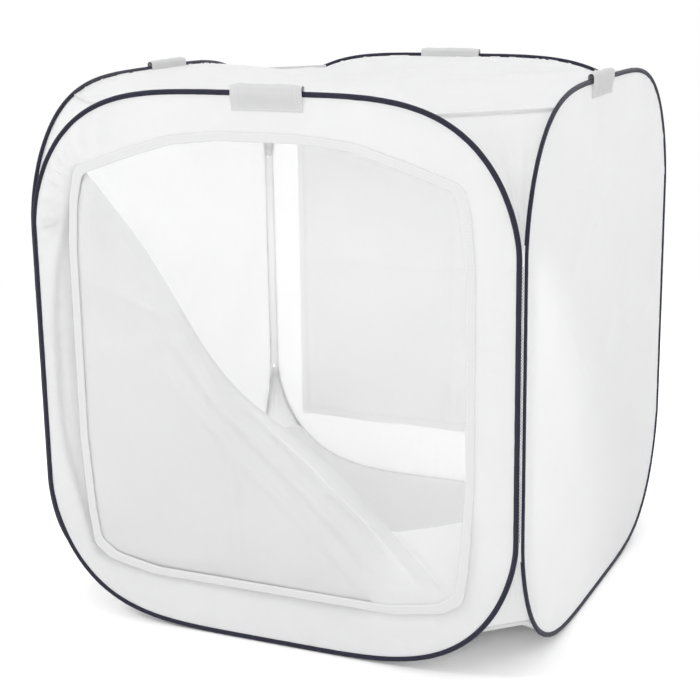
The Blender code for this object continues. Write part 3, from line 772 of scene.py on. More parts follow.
class LIGHTTENT_OT_patches(TentOperator, bpy.types.Operator):
    """Fold a white patch over each gap in the binding, puffed out and sewn down at its hem"""
    bl_idname = "lighttent.patches"
    bl_label = "Joint Patches"

    def execute(self, context):
        size = sizes()
        for side in SIDES:
            middle, length = patch_middle(side), size.patch_length
            cloth = Side(side)
            seed = 23.0 * (SIDES.index(side) + 1)
            drop, rise, arch, lip = 0.0195, 0.0045, 0.0036, 0.0085
            bend = math.pi * arch
            total = drop + rise + bend + lip

            def put(u, v, lift=0.0):
                x = middle + (u - 0.5) * length * (1 + 0.012 * noise.noise(Vector((v * 5.0, seed, 0.0))))
                gone = v * total
                ends = fade(u, 0.0, 0.12) * (1 - fade(u, 0.88, 1.0))
                puff = 0.0011 * ends * (0.4 + swirl(u * 0.09, v * 0.05, seed, 0.018))
                level = hoop_height(x)
                top = level + rise
                side = drop + rise
                if gone < side:
                    z = top - (side - gone)
                    close = fade(side - gone, rise, 0.020)
                    rest = cloth.relief(x, z) + size.cloth / 2 + size.tape if z < level else arch
                    out = arch + puff * (1 - close) + (rest - arch) * close
                    out += 0.0007 * math.sin(math.pi * min(gone / side, 1.0)) * ends
                    return (x, WIRE_PLANE - out - lift, z)
                if gone < side + bend:
                    angle = (gone - side) / arch
                    wide = arch + puff + lift
                    return (x, WIRE_PLANE - wide * math.cos(angle), top + wide * math.sin(angle))
                z = top - (gone - side - bend)
                return (x, WIRE_PLANE + arch + puff + lift, z)

            shape = grid(60, 44, put, lambda u, v: (u * length, v * total))
            rows_of = []
            lines = [[Vector(put(u / 80, 0.05, 0.00035)) for u in range(3, 78)]]
            lines += [[Vector(put(u, v / 60, 0.00035)) for v in range(2, 56)]
                      for u in (0.045, 0.085, 0.915, 0.955)]
            for line in lines:
                for place, along in along_line(line, 0.0034):
                    radial = Vector((0.0, place.y - WIRE_PLANE, max(place.z - hoop_height(place.x), 0.0)))
                    out = (radial - along * radial.dot(along)).normalized()
                    rows_of.append((place, along, out))
            stitches = stitch_rows(rows_of, *PATCH_BEAD)
            turned(shape, side)
            turned(stitches, side)
            obj = piece(side + "_patch", shape, (white_tape("patch_cloth", 0.80), white_thread()), size.tape,
                        stitches)
            dress(obj, side, "tape", side + "_joint_patch")
        return {"FINISHED"}


class LIGHTTENT_OT_corner_threads(TentOperator, bpy.types.Operator):
    """Wind thread down the line where the bindings touch in each corner, and face it with tape inside in all
    corners but the front right
    """
    bl_idname = "lighttent.corner_threads"
    bl_label = "Corner Threads"

    def execute(self, context):
        for name, body in (("front_left", "front"), ("front_right", "front"),
                           ("back_left", "back"), ("back_right", "back")):
            low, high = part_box(name + "_seam")
            x, y = (low.x + high.x) / 2, (low.y + high.y) / 2
            turns = round((high.z - low.z) / PITCH)
            curve = bpy.data.curves.new(name + "_thread", "CURVE")
            curve.dimensions = "3D"
            curve.bevel_depth = 0.00022
            curve.bevel_resolution = 1
            curve.use_fill_caps = True
            spline = curve.splines.new("POLY")
            spline.points.add(turns * 8)
            for index, point in enumerate(spline.points):
                angle = math.pi / 4 * index
                loose = 0.00045 + 0.00006 * noise.noise(Vector((index * 0.3, x * 9, y * 9)))
                point.co = (x + loose * math.cos(angle), y + loose * math.sin(angle),
                            low.z + (high.z - low.z) * index / (turns * 8), 1.0)
            wound = bpy.data.objects.new(name + "_wound", curve)
            bpy.context.scene.collection.objects.link(wound)
            bpy.context.view_layer.update()
            seen = wound.evaluated_get(bpy.context.evaluated_depsgraph_get())
            shape = bmesh.new()
            shape.from_mesh(bpy.data.meshes.new_from_object(seen))
            bmesh.ops.remove_doubles(shape, verts=shape.verts, dist=0.00001)
            bmesh.ops.recalc_face_normals(shape, faces=shape.faces)
            bpy.data.objects.remove(wound)
            dress(piece(name + "_corner_thread", shape, (dark_thread(),)), body, "thread", name + "_seam")
            # No joint joins the front and the right; that corner gets no facing
            if name != "front_right":
                self.facing(name, body, x, y)
        return {"FINISHED"}

    def facing(self, name, body, x, y):
        """The narrow white tape over the thread inside the tent, sewn to both sides that meet there."""
        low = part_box(name + "_floor_gusset")[1].z + 0.003
        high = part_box(name + "_top_gusset")[0].z - 0.003
        inward = Vector((-x, -y, 0.0)).normalized()
        towards_body = Vector((-x, y, 0.0)).normalized()
        width = 0.0062

        def put(u, v, lift=0.0):
            z = low + (high - low) * u
            ripple = 0.00008 * noise.noise(Vector((z / 0.012, x, y)))
            place = Vector((x, y, 0.0)) + inward * (0.0027 + ripple + lift) + towards_body * width * (0.5 - v)
            return Vector((place.x, place.y, z))

        shape = grid(160, 4, put, lambda u, v: (u * (high - low), v * width))
        rows_of = stitch_line([put(u / 40, 0.5, 0.00018) for u in range(41)], PITCH, inward)
        obj = piece(name + "_corner_facing", shape, (facing_nylon(), white_thread()), 0.0003,
                    stitch_rows(rows_of, 0.0022, 0.0004, 0.0002))
        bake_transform(obj)


def spread_disc(u, v, reach):
    """Shares of a square laid over a round outline: the direction, and how far out towards its rim."""
    across, up = 2 * u - 1, 2 * v - 1
    share = max(abs(across), abs(up))
    angle = math.atan2(up * HOOP_MIDDLE, across * HOOP_HALF) if share else 0.0
    return share, angle, reach(angle)


class LIGHTTENT_OT_side_cloths(TentOperator, bpy.types.Operator):
    """Stretch white cloth in the right, back and left hoops"""
    bl_idname = "lighttent.side_cloths"
    bl_label = "Side Cloths"

    def execute(self, context):
        size = sizes()
        for side in SIDES[1:]:
            cloth = Side(side)
            inner = polar(hoop_line(CLOTH_INSET))

            def flat(u, v):
                share, angle, reach = spread_disc(u, v, inner)
                return (share * reach * math.cos(angle), HOOP_MIDDLE + share * reach * math.sin(angle))

            def put(u, v):
                x, z = flat(u, v)
                return (x, WIRE_PLANE - cloth.relief(x, z), z)

            shape = turned(grid(size.detail, size.detail, put, flat), side)
            obj = piece(side + "_cloth", shape, (white_nylon(),), size.cloth)
            dress(obj, side, "cloth", side + "_panel")
            cut_area(hoop_line(CLOTH_INSET))
        return {"FINISHED"}


def front_rings(count):
    """For even steps round the front: directions, and the window's and the hoop's distance in each."""
    inner, outer = polar(window_line()), polar(hoop_line(CLOTH_INSET))
    points = evenly(hoop_line(CLOTH_INSET), count)
    angles = [math.atan2(point.y - HOOP_MIDDLE, point.x) for point in points]
    return [(angle, inner(angle), outer(angle)) for angle in angles]


def close_ring(shape):
    """Joins the two ends of a band that runs all the way round."""
    bmesh.ops.remove_doubles(shape, verts=shape.verts, dist=0.00002)
    return shape


class LIGHTTENT_OT_front_cloth(TentOperator, bpy.types.Operator):
    """Stretch the front's cloth between its hoop and the window"""
    bl_idname = "lighttent.front_cloth"
    bl_label = "Front Cloth"

    def execute(self, context):
        size = sizes()
        cloth = Side("front")
        rings = front_rings(4 * size.detail)
        count = len(rings)

        def flat(u, v):
            angle, inner, outer = rings[round(u * count) % count]
            reach = inner + (outer - inner) * v
            return (reach * math.cos(angle), HOOP_MIDDLE + reach * math.sin(angle))

        def put(u, v):
            x, z = flat(u, v)
            return (x, WIRE_PLANE - cloth.relief(x, z), z)

        shape = close_ring(grid(count, 22, put, flat))
        obj = piece("front_cloth", shape, (white_nylon(),), size.cloth)
        dress(obj, "front", "cloth", "front_panel")
        cut_area(hoop_line(CLOTH_INSET)) - cut_area(window_line())
        return {"FINISHED"}


def band(profile, count=480, wave=0.0, seed=0.0):
    """A band round the window from (growth, depth) rows, depth being inwards from the hoop's plane."""
    lines = [evenly_by_angle(polar(window_line(growth)), count) for growth, _ in profile]
    length = sum((b - a).length for a, b in zip(lines[0], lines[0][1:] + lines[0][:1]))
    rows = len(profile) - 1

    def put(u, v):
        index, row = round(u * count) % count, round(v * rows)
        point = lines[row][index]
        ripple = wave * noise.noise(Vector((point.x / 0.012, point.y / 0.012, seed)))
        return (point.x, WIRE_PLANE + profile[row][1] - abs(ripple), point.y)

    wide = abs(profile[0][0] - profile[-1][0]) or 0.007
    return close_ring(grid(count, rows, put, lambda u, v: (u * length, v * wide)))


def evenly_by_angle(reach, count):
    """Points of a line at directions that are close to even along the window."""
    guide = evenly(window_line(), count)
    points = []
    for point in guide:
        angle = math.atan2(point.y - HOOP_MIDDLE, point.x)
        points.append(CENTRE + Vector((math.cos(angle), math.sin(angle))) * reach(angle))
    return points


def window_stitches(growths, depth, out, keep=None):
    """Rows of stitches round the window."""
    rows_of = []
    for growth in growths:
        line = [Vector((point.x, WIRE_PLANE + depth, point.y)) for point in evenly(window_line(growth), 480)]
        rows_of += [(place, along, out) for place, along in along_line(line, PITCH, True)
                    if keep is None or keep(Vector((place.x, place.z)))]
    return rows_of


class LIGHTTENT_OT_window_trim(TentOperator, bpy.types.Operator):
    """Turn tape over the window's edge outside and sew the loop strip inside"""
    bl_idname = "lighttent.window_trim"
    bl_label = "Window Hem and Loop Strip"

    def execute(self, context):
        profile = [(0.0098, -0.00046), (0.0090, -0.00062), (0.0060, -0.00068), (0.0020, -0.00070),
                   (0.0004, -0.00070), (-0.0004, -0.00030), (-0.0003, 0.00012), (0.0002, 0.00036)]
        stitches = stitch_rows(window_stitches((0.0014, 0.0084), -0.00095, Vector((0.0, -1.0, 0.0))),
                               *HEM_BEAD)
        hem = piece("window_edge_tape", band(profile, wave=0.00015, seed=3.0), (hem_nylon(), white_thread()),
                    STRIP, stitches)
        dress(hem, "front", "tape", "window_hem")
        profile = [(0.0005, 0.00080), (0.0020, 0.00086), (0.0050, 0.00088),
                   (0.0080, 0.00086), (0.0095, 0.00080)]
        stitches = stitch_rows(window_stitches((0.0012, 0.0088), 0.00106, Vector((0.0, 1.0, 0.0))),
                               *FINE_BEAD)
        strip = piece("window_loop_tape", band(profile), (loop_strip(), white_thread()), STRIP, stitches)
        dress(strip, "front", "strip", "window_loop_strip")
        return {"FINISHED"}


# The cover: one cloth, sewn on below the fold and folded back inside above it. Its free edge leaves the fold
# this far along it, and runs to this point
FOLD_LENGTH = 0.6315
FREE_TURN = 0.5558
FREE_END = Vector((0.2700, 0.19202))


def fold_turn():
    return FOLD_TOP + FOLD_ALONG * FREE_TURN


def free_line():
    along = (FREE_END - fold_turn()).normalized()
    return fold_turn(), Vector((-along.y, along.x))


def folds_back(point, gap=0.0):
    turn, across = free_line()
    return (point - FOLD_TOP).dot(FOLD_ACROSS) > gap and (point - turn).dot(across) > gap


def fold_sag(point):
    """How far the slack cloth hangs in from the straight fold, most at the middle of the folded edge."""
    share = (point - FOLD_TOP).dot(FOLD_ALONG) / FOLD_LENGTH
    away = abs((point - FOLD_TOP).dot(FOLD_ACROSS))
    width = 0.21 if share < 0.48 else 0.185
    bell = math.exp(-((share - 0.48) / width) ** 2) * fade(share, -0.02, 0.10)
    return sizes().fold_sag * bell * max(0.0, 1.0 - away / 0.20) ** 2


def folded(point):
    """Where a point of the closed cover is once its corner is folded back."""
    away = (point - FOLD_TOP).dot(FOLD_ACROSS)
    return point - FOLD_ACROSS * 2 * away


def cover_relief(point, away, window):
    """How far the fixed part of the cover swells outwards: pleats beside the fold, drag lines and slack."""
    size = sizes()
    offset = point - CENTRE
    inside = window(math.atan2(offset.y, offset.x)) - offset.length
    free = fade(inside, 0.002, 0.024)
    below = -(point - FOLD_TOP).dot(FOLD_ACROSS)
    share = (point - FOLD_TOP).dot(FOLD_ALONG) / FOLD_LENGTH
    bend = 0.006 * math.sin(share * 9.0) + 0.010 * (share - 0.7)
    along = fade(share, 0.26, 0.55) * (1 - fade(share, 0.84, 1.02))
    ripple = math.sin(math.pi * (below + bend) / 0.031) ** 2 if 0.0 < below + bend < 0.093 else 0.0
    pleats = size.pleat * along * ripple * (1.0 if below < 0.062 else 0.6)
    drag = math.exp(-((point.x + 0.206 + 0.006 * math.sin((point.y - 0.45) * 30)) / 0.0095) ** 2)
    drag *= fade(point.y, 0.440, 0.475) * (1 - fade(point.y, 0.535, 0.560)) * 0.0060
    slack = size.slack * 1.3 * swirl(point.x, point.y, 91.0, 0.11)
    creases = size.slack * 2.2 * crease(point.x + 0.05, point.y - 0.06, 61.0)
    level = 0.0012 * math.sin(point.y * 37.0 + 4.0 * point.x) ** 2 * fade(share, 0.0, 0.4)
    swell = (pleats + drag + slack + creases + level) * free + 0.0016 * fade(inside, -0.0004, 0.0045)
    return swell * fade(away, 0.0, 0.012)


class LIGHTTENT_OT_cover(TentOperator, bpy.types.Operator):
    """Sew the cover on, fold its upper corner back inside and put its hook strips on"""
    bl_idname = "lighttent.cover"
    bl_label = "Window Cover"

    def execute(self, context):
        size = sizes()
        flap_low, flap_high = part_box("cover_flap")
        fixed_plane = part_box("cover_panel")[1].y - 0.0003
        flap_plane = (flap_low.y + flap_high.y) / 2
        shape = self.flat_cover()
        where = shape.verts.layers.float_vector.new("where")
        for vert in shape.verts:
            vert[where] = vert.co
        self.slit(shape)
        window = polar(window_line())
        back = set()
        for face in shape.faces:
            if folds_back(face.calc_center_median().xy):
                back.update(face.verts)
        for vert in shape.verts:
            point = vert.co.xy.copy()
            away = abs((point - FOLD_TOP).dot(FOLD_ACROSS))
            sag = FOLD_ACROSS * fold_sag(point)
            if vert in back:
                edge = window(math.atan2(point.y - HOOP_MIDDLE, point.x)) - (point - CENTRE).length
                loose = swirl(point.x, point.y, 17.0, 0.10) * 1.2 + 2.0 * crease(point.x, point.y, 33.0)
                inward = size.slack * loose * fade(edge, 0.016, 0.06) * fade(away, 0.0, 0.02)
                point = folded(point) - sag
                vert.co = (point.x, flap_plane + inward, point.y)
            else:
                point = point - sag
                vert.co = (point.x, fixed_plane - cover_relief(point, away, window), point.y)
        self.join_fold(shape, where)
        layer = shape.loops.layers.uv.new("flat")
        for face in shape.faces:
            for corner in face.loops:
                corner[layer].uv = corner.vert[where].xy
        bmesh.ops.recalc_face_normals(shape, faces=shape.faces)
        obj = piece("window_cover", shape, (white_nylon(),), size.cloth)
        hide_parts("cover_panel", "cover_flap")
        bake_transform(obj)
        outline = cover_line()
        self.hook_strips()
        cut_area(outline)
        return {"FINISHED"}

    def flat_cover(self):
        """The closed cover, flat, with x across and y up: a grid along the fold, cut to its outline."""
        count = round(sizes().detail * 1.25 / 2) * 2
        shape = bmesh.new()
        bmesh.ops.create_grid(shape, x_segments=count, y_segments=count, size=0.5)
        for vert in shape.verts:
            along, across = 0.345 + vert.co.x * 0.76, vert.co.y * 0.76
            point = FOLD_TOP + FOLD_ALONG * along + FOLD_ACROSS * across
            vert.co = (point.x, point.y, 0.0)
        outline = cover_line()
        heading = None
        for start, end in zip(outline, outline[1:] + outline[:1]):
            along = (end - start).normalized()
            if heading is None or heading.dot(along) < 0.999999:
                cut(shape, start, Vector((along.y, -along.x)), True)
            heading = along
        turn, across = free_line()
        cut(shape, turn, across, False)
        bmesh.ops.dissolve_degenerate(shape, dist=0.00005, edges=shape.edges)
        return shape

    def slit(self, shape):
        """Parts the cover along the fold and along its free edge."""
        turn, across = free_line()
        parted = []
        for edge in shape.edges:
            ends = [vert.co.xy for vert in edge.verts]
            middle = (ends[0] + ends[1]) / 2
            on_fold = all(abs((end - FOLD_TOP).dot(FOLD_ACROSS)) < ON_LINE for end in ends)
            on_free = all(abs((end - turn).dot(across)) < ON_LINE for end in ends)
            if on_fold and (middle - turn).dot(FOLD_ALONG) < 0.0:
                parted.append(edge)
            elif on_free and (middle - turn).dot(FOLD_ACROSS) > 0.0:
                parted.append(edge)
        bmesh.ops.split_edges(shape, edges=parted)

    def join_fold(self, shape, where):
        """Closes the two layers along the fold with one narrow turn."""
        turn, ends = fold_turn(), []
        for edge in shape.edges:
            flat = [vert[where].xy for vert in edge.verts]
            on_fold = all(abs((end - FOLD_TOP).dot(FOLD_ACROSS)) < ON_LINE for end in flat)
            if edge.is_boundary and on_fold and ((flat[0] + flat[1]) / 2 - turn).dot(FOLD_ALONG) < 0.0:
                ends.append(edge)
        bmesh.ops.bridge_loops(shape, edges=ends)

    def hook_strips(self):
        """The hook strip of the fixed part, and that of the corner, which is folded back with it."""
        for name, node, body, folds in (("cover_hook_tape", "cover_hook_strip", "front", False),
                                        ("flap_hook_tape", "flap_hook_strip", "flap", True)):
            low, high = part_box(node)
            plane = (low.y + high.y) / 2 - WIRE_PLANE
            profile = [(growth, plane) for growth in (0.0006, 0.0028, 0.0050, 0.0072, 0.0094)]
            shape = band(profile)
            turn, across = free_line()
            gap = 0.0006 if folds else 0.0
            for point, normal in ((FOLD_TOP, FOLD_ACROSS), (turn, across)):
                point = point + normal * gap
                bmesh.ops.bisect_plane(shape, geom=shape.verts[:] + shape.edges[:] + shape.faces[:],
                                       dist=0.00001, plane_co=(point.x, 0.0, point.y),
                                       plane_no=(normal.x, 0.0, normal.y))
            middles = {face: face.calc_center_median() for face in shape.faces}
            spare = [face for face, middle in middles.items() if folds_back(middle.xz, gap) != folds]
            bmesh.ops.delete(shape, geom=spare, context="FACES")
            side_out = Vector((0.0, 1.0 if folds else -1.0, 0.0))
            rows_of = window_stitches((0.0013, 0.0087), plane + side_out.y * 0.00025, side_out,
                                      lambda point: folds_back(point) == folds)
            if folds:
                for vert in shape.verts:
                    point = folded(Vector((vert.co.x, vert.co.z)))
                    vert.co = (point.x, vert.co.y, point.y)
                turned_rows = []
                for place, along, out in rows_of:
                    point = folded(Vector((place.x, place.z)))
                    tip = folded(Vector((place.x, place.z)) + along.xz)
                    turned_rows.append((Vector((point.x, place.y, point.y)),
                                        Vector((tip.x - point.x, 0.0, tip.y - point.y)), out))
                rows_of = turned_rows
            obj = piece(name, shape, (hook_strip(), white_thread()), STRIP,
                        stitch_rows(rows_of, *FINE_BEAD))
            dress(obj, body, "strip", node)


def cut(shape, point, normal, clear):
    """Cuts a flat mesh along a line, and with clear drops what lies beyond it."""
    bmesh.ops.bisect_plane(shape, geom=shape.verts[:] + shape.edges[:] + shape.faces[:], dist=0.00001,
                           plane_co=(point.x, point.y, 0.0), plane_no=(normal.x, normal.y, 0.0),
                           clear_outer=clear)


class LIGHTTENT_OT_backdrop(TentOperator, bpy.types.Operator):
    """Hang the backdrop inside the back by its upper edge"""
    bl_idname = "lighttent.backdrop"
    bl_label = "Backdrop"

    def execute(self, context):
        size = sizes()
        low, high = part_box("backdrop")
        wide, tall = high.x - low.x, high.z - low.z
        plane = (low.y + high.y) / 2
        stops = [0.0, 0.006, 0.0105, 0.0112]
        across = self.spaced(stops, wide, 88)
        up = self.spaced([0.0, 0.007, 0.0125, 0.0132], tall, 88)

        def flat(u, v):
            return (low.x + across[round(u * (len(across) - 1))], low.z + up[round(v * (len(up) - 1))])

        def hung(x, z):
            """How far the backdrop hangs in front of its strip: long waves, press lines and slack."""
            down = (high.z - z) / tall
            waves = 0.0042 * down * math.sin(x * 19.0 + 0.6 + 0.8 * math.sin(z * 6.0)) ** 2
            press = 0.0020 * (math.exp(-((x + 0.005) / 0.006) ** 2)
                              + 0.8 * math.exp(-((x - 0.19) / 0.007) ** 2))
            press += 0.0016 * math.exp(-((z - 0.33) / 0.006) ** 2)
            return (waves + press + 0.0030 * swirl(x, z, 5.0, 0.13)) * fade(down, 0.03, 0.5)

        def put(u, v):
            x, z = flat(u, v)
            margin = min(x - low.x, high.x - x, (z - low.z) * 0.85)
            hem = 0.0004 if margin < 0.0108 and high.z - z > 0.04 * tall else 0.0
            return (x, plane - hem - hung(x, z), z)

        def seam(x0, z0, x1, z1):
            line = [(x0 + (x1 - x0) * step / 160, z0 + (z1 - z0) * step / 160) for step in range(161)]
            return [Vector((x, plane - 0.0005 - hung(x, z) - size.cloth / 2, z)) for x, z in line]

        lines = [seam(low.x + 0.009, low.z + 0.011, high.x - 0.009, low.z + 0.011),
                 seam(low.x + 0.009, low.z + 0.011, low.x + 0.009, high.z - 0.02),
                 seam(high.x - 0.009, low.z + 0.011, high.x - 0.009, high.z - 0.02)]
        rows_of = [row for line in lines for row in stitch_line(line, PITCH, Vector((0.0, -1.0, 0.0)))]
        shape = grid(len(across) - 1, len(up) - 1, put, flat)
        obj = piece("hung_backdrop", shape, (backdrop_cloth(), white_thread()), size.cloth,
                    stitch_rows(rows_of, *HEM_BEAD))
        dress(obj, "back", "inner", "backdrop")
        for name, node, finish in (("backdrop_loop_tape", "backdrop_loop_strip", loop_strip()),
                                   ("backdrop_hook_tape", "backdrop_hook_strip", hook_strip())):
            self.strip(name, node, finish)
        return {"FINISHED"}

    def spaced(self, margin, length, count):
        """Distances across the backdrop, closer at its hemmed edges."""
        inner = [margin[-1] + (length - 2 * margin[-1]) * step / count for step in range(1, count)]
        return margin + inner + [length - gap for gap in reversed(margin)]

    def strip(self, name, node, finish):
        low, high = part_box(node)
        plane = (low.y + high.y) / 2

        def put(u, v):
            x, z = low.x + (high.x - low.x) * u, low.z + (high.z - low.z) * v
            return (x, plane + 0.00006 * noise.noise(Vector((x / 0.008, z / 0.008, 2.0))), z)

        shape = grid(100, 6, put, lambda u, v: (u * (high.x - low.x), v * (high.z - low.z)))
        rows_of = []
        for z in (low.z + 0.0012, high.z - 0.0012):
            line = [Vector((low.x + 0.002, plane - 0.00022, z)), Vector((high.x - 0.002, plane - 0.00022, z))]
            rows_of += stitch_line(line, PITCH, Vector((0.0, -1.0, 0.0)))
        obj = piece(name, shape, (finish, white_thread()), STRIP, stitch_rows(rows_of, *FINE_BEAD))
        dress(obj, "back", "strip", node)
        return name


# The soft top, floor and corners, which follow the folding sides
def soft_rim(reach, height):
    """The edge of the top or floor by direction: along each hoop, and straight across each corner."""
    limit = SEWN_SPAN
    edge = []
    for turn in range(4):
        spin = Matrix.Rotation(math.radians(90 * turn), 3, "Z")
        for step in range(41):
            x = reach * (2 * step / 40 - 1)
            edge.append(spin @ Vector((x, -limit, height(x))))
        for step in range(1, 12):
            share = step / 12
            edge.append(spin @ Vector((reach + (limit - reach) * share, -limit + (limit - reach) * share,
                                       height(reach))))
    rim = by_angle([math.atan2(point.y, point.x) for point in edge], [tuple(point) for point in edge])
    return lambda angle: Vector(rim(angle))


class LIGHTTENT_OT_canopy(TentOperator, bpy.types.Operator):
    """Lay the soft top and floor between the hoops"""
    bl_idname = "lighttent.canopy"
    bl_label = "Top and Floor"

    def execute(self, context):
        size = sizes()
        for name, node, reach, height, sag, power, sign in (
                ("top_cloth", "top_panel", HALF_SPAN - TOP_CUT,
                 lambda x: hoop_height(x, SEWN_INSET), 0.009, 2.0, 1.0),
                ("floor_cloth", "floor_panel", HALF_SPAN - FLOOR_CUT,
                 lambda x: TENT_HEIGHT - hoop_height(x, SEWN_INSET), 0.0034, 2.5, -1.0)):
            rim = soft_rim(reach, height)
            middle = height(0.0) - sag
            seed = 51.0 if sign > 0 else 71.0

            def put(u, v):
                across, up = 2 * u - 1, 2 * v - 1
                share = max(abs(across), abs(up))
                edge = rim(math.atan2(up, across)) if share else Vector((0.0, 0.0, middle))
                x, y, z = edge.x * share, edge.y * share, middle + (edge.z - middle) * share ** power
                away = (1 - share) * HALF_SPAN
                gathers = swirl(edge.x, edge.y, seed, 0.013) ** 2 * fade(away, 0.0, 0.012)
                gathers *= (1 - fade(away, 0.02, 0.09)) * size.pucker * 1.6
                wide = ((swirl(x, y, seed + 2.0, 0.13) + 1.5 * crease(x, y + HOOP_MIDDLE, seed))
                        * fade(away, 0.0, 0.08))
                return (x, y, z + gathers + wide * (0.004 if sign > 0 else 0.0016))

            shape = grid(size.detail, size.detail, put, lambda u, v: (u * 2 * HALF_SPAN, v * 2 * HALF_SPAN))
            obj = piece(name, shape, (white_nylon() if sign > 0 else floor_nylon(),), size.cloth)
            dress(obj, "canopy", "cloth", node, squashed=True)
        return {"FINISHED"}


class LIGHTTENT_OT_gussets(TentOperator, bpy.types.Operator):
    """Close the eight soft corners and sew them to the top and the floor"""
    bl_idname = "lighttent.gussets"
    bl_label = "Corner Gussets"

    def execute(self, context):
        size = sizes()
        limit = SEWN_SPAN
        for turn, corner in enumerate(CORNERS):
            for level, flip in (("top", False), ("floor", True)):
                node = f"{corner}_{level}_gusset"
                low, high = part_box(node)
                tip, seam = (low.z, high.z) if not flip else (TENT_HEIGHT - high.z, TENT_HEIGHT - low.z)
                longest = (limit - hoop_width(seam, SEWN_INSET)) * math.sqrt(2)
                tall = seam - tip
                seed = 3.7 * turn + (11.0 if flip else 0.0)
                spin = Matrix.Rotation(math.radians(90 * turn), 3, "Z")

                def put(u, v):
                    z = tip + tall * v
                    width = hoop_width(z, SEWN_INSET)
                    start, end = Vector((width, -limit)), Vector((limit, -width))
                    span = (end - start).length
                    point = start.lerp(end, u)
                    drag = math.sin(math.pi * u) * (0.6 + 0.8 * swirl(u * 0.2, v * 0.05, seed, 0.035))
                    inward = longest * 0.06 * math.sin(math.pi * v) * drag
                    folds = 0.022 * span * math.sin(math.pi * 5 * u + seed) * math.sin(math.pi * u)
                    inward += folds * (1 - fade(v, 0.45, 0.98))
                    point += Vector((-1.0, 1.0)).normalized() * inward
                    return spin @ Vector((point.x, point.y, TENT_HEIGHT - z if flip else z))

                def flat(u, v):
                    return ((u - 0.5) * longest * (0.2 + 0.8 * v), v * tall * 1.1)

                shape = grid(36, 30, put, flat)
                obj = piece(f"{corner}_{level}_corner", shape, (white_nylon(),), size.cloth)
                dress(obj, "canopy", "cloth", node, squashed=True)
                tape = self.seam(corner, level, spin, seam + 0.0006, longest, flip)
                deep, area = self.pattern(tip, seam)
        return {"FINISHED"}

    def pattern(self, tip, seam, steps=200):
        """Depth and area of a corner's flat cut: straight strips from hoop to hoop, one above the other."""
        levels = [tip + (seam - tip) * step / steps for step in range(steps + 1)]
        gaps = [SEWN_SPAN - hoop_width(z, SEWN_INSET) for z in levels]
        deeps = [math.hypot(levels[n + 1] - levels[n], (gaps[n + 1] - gaps[n]) / math.sqrt(2))
                 for n in range(steps)]
        area = sum(deep * (gaps[n] + gaps[n + 1]) / math.sqrt(2) for n, deep in enumerate(deeps))
        return sum(deeps), area

    def seam(self, corner, level, spin, height, longest, flip):
        """The felled seam between a corner and the top or floor, with its two rows of stitches."""
        limit = SEWN_SPAN
        width = hoop_width(height, SEWN_INSET)
        start, end = Vector((width, -limit, 0.0)), Vector((limit, -width, 0.0))
        out = Vector((1.0, -1.0, 0.0)).normalized()
        half = 0.0032

        def put(u, v, lift=0.0):
            point = start.lerp(end, 0.012 + 0.976 * u)
            angle = math.radians(-50 + 100 * v)
            reach = 0.0013 + lift
            point = point + out * (reach * math.cos(angle) - 0.0004)
            z = height + (reach + half * 0.6) * math.sin(angle)
            return spin @ Vector((point.x, point.y, TENT_HEIGHT - z if flip else z))

        shape = grid(40, 6, put, lambda u, v: (u * longest, v * 2 * half))
        rows_of = []
        for v in (0.18, 0.82):
            line = [put(u / 40, v, 0.0003) for u in range(1, 40)]
            rows_of += stitch_line(line, 0.0034, spin @ out)
        name = f"{corner}_{level}_seam_tape"
        obj = piece(name, shape, (hem_nylon(), white_thread()), STRIP,
                    stitch_rows(rows_of, 0.0023, 0.0005, 0.0004))
        dress(obj, "canopy", "tape", squashed=True)
        return name


def seen_directly(nodes):
    """1 for rays that show the studio itself, in the camera, gloss or glass, and 0 for soft light."""
    path = nodes.add("ShaderNodeLightPath").outputs
    shows = nodes.math("MAXIMUM", path["Is Camera Ray"],
                       nodes.math("MAXIMUM", path["Is Glossy Ray"], path["Is Transmission Ray"]))
    soft = nodes.math("SUBTRACT", 1.0, path["Is Diffuse Ray"])
    return nodes.math("MULTIPLY", shows, soft)


# Name, place, size in metres and power in watts of each lamp; all of them face the middle of the tent
LAMPS = (
    ("lamp_front", (0.9, -3.1, 1.2), 0.8, 27.5), ("lamp_key", (-2.0, -1.6, 2.4), 0.7, 29.0),
    ("lamp_left", (-2.4, 0.5, 1.3), 1.6, 7.5), ("lamp_right", (2.4, 0.9, 1.6), 1.6, 14.0),
    ("lamp_top", (-0.3, 0.5, 2.6), 1.6, 6.0), ("lamp_back", (0.3, 2.6, 1.2), 1.8, 22.0),
)
LAMPS_FACE = Vector((0.0, 0.0, 0.32))

# The camera fitted to the photo: its place, its turn, tilt and roll in degrees, and its lens in millimetres
CAMERA_PLACE = (0.7927, -1.8044, 0.7864)
CAMERA_TURN, CAMERA_TILT, CAMERA_ROLL = 24.572, 75.620, -0.865
CAMERA_LENS = 80.96


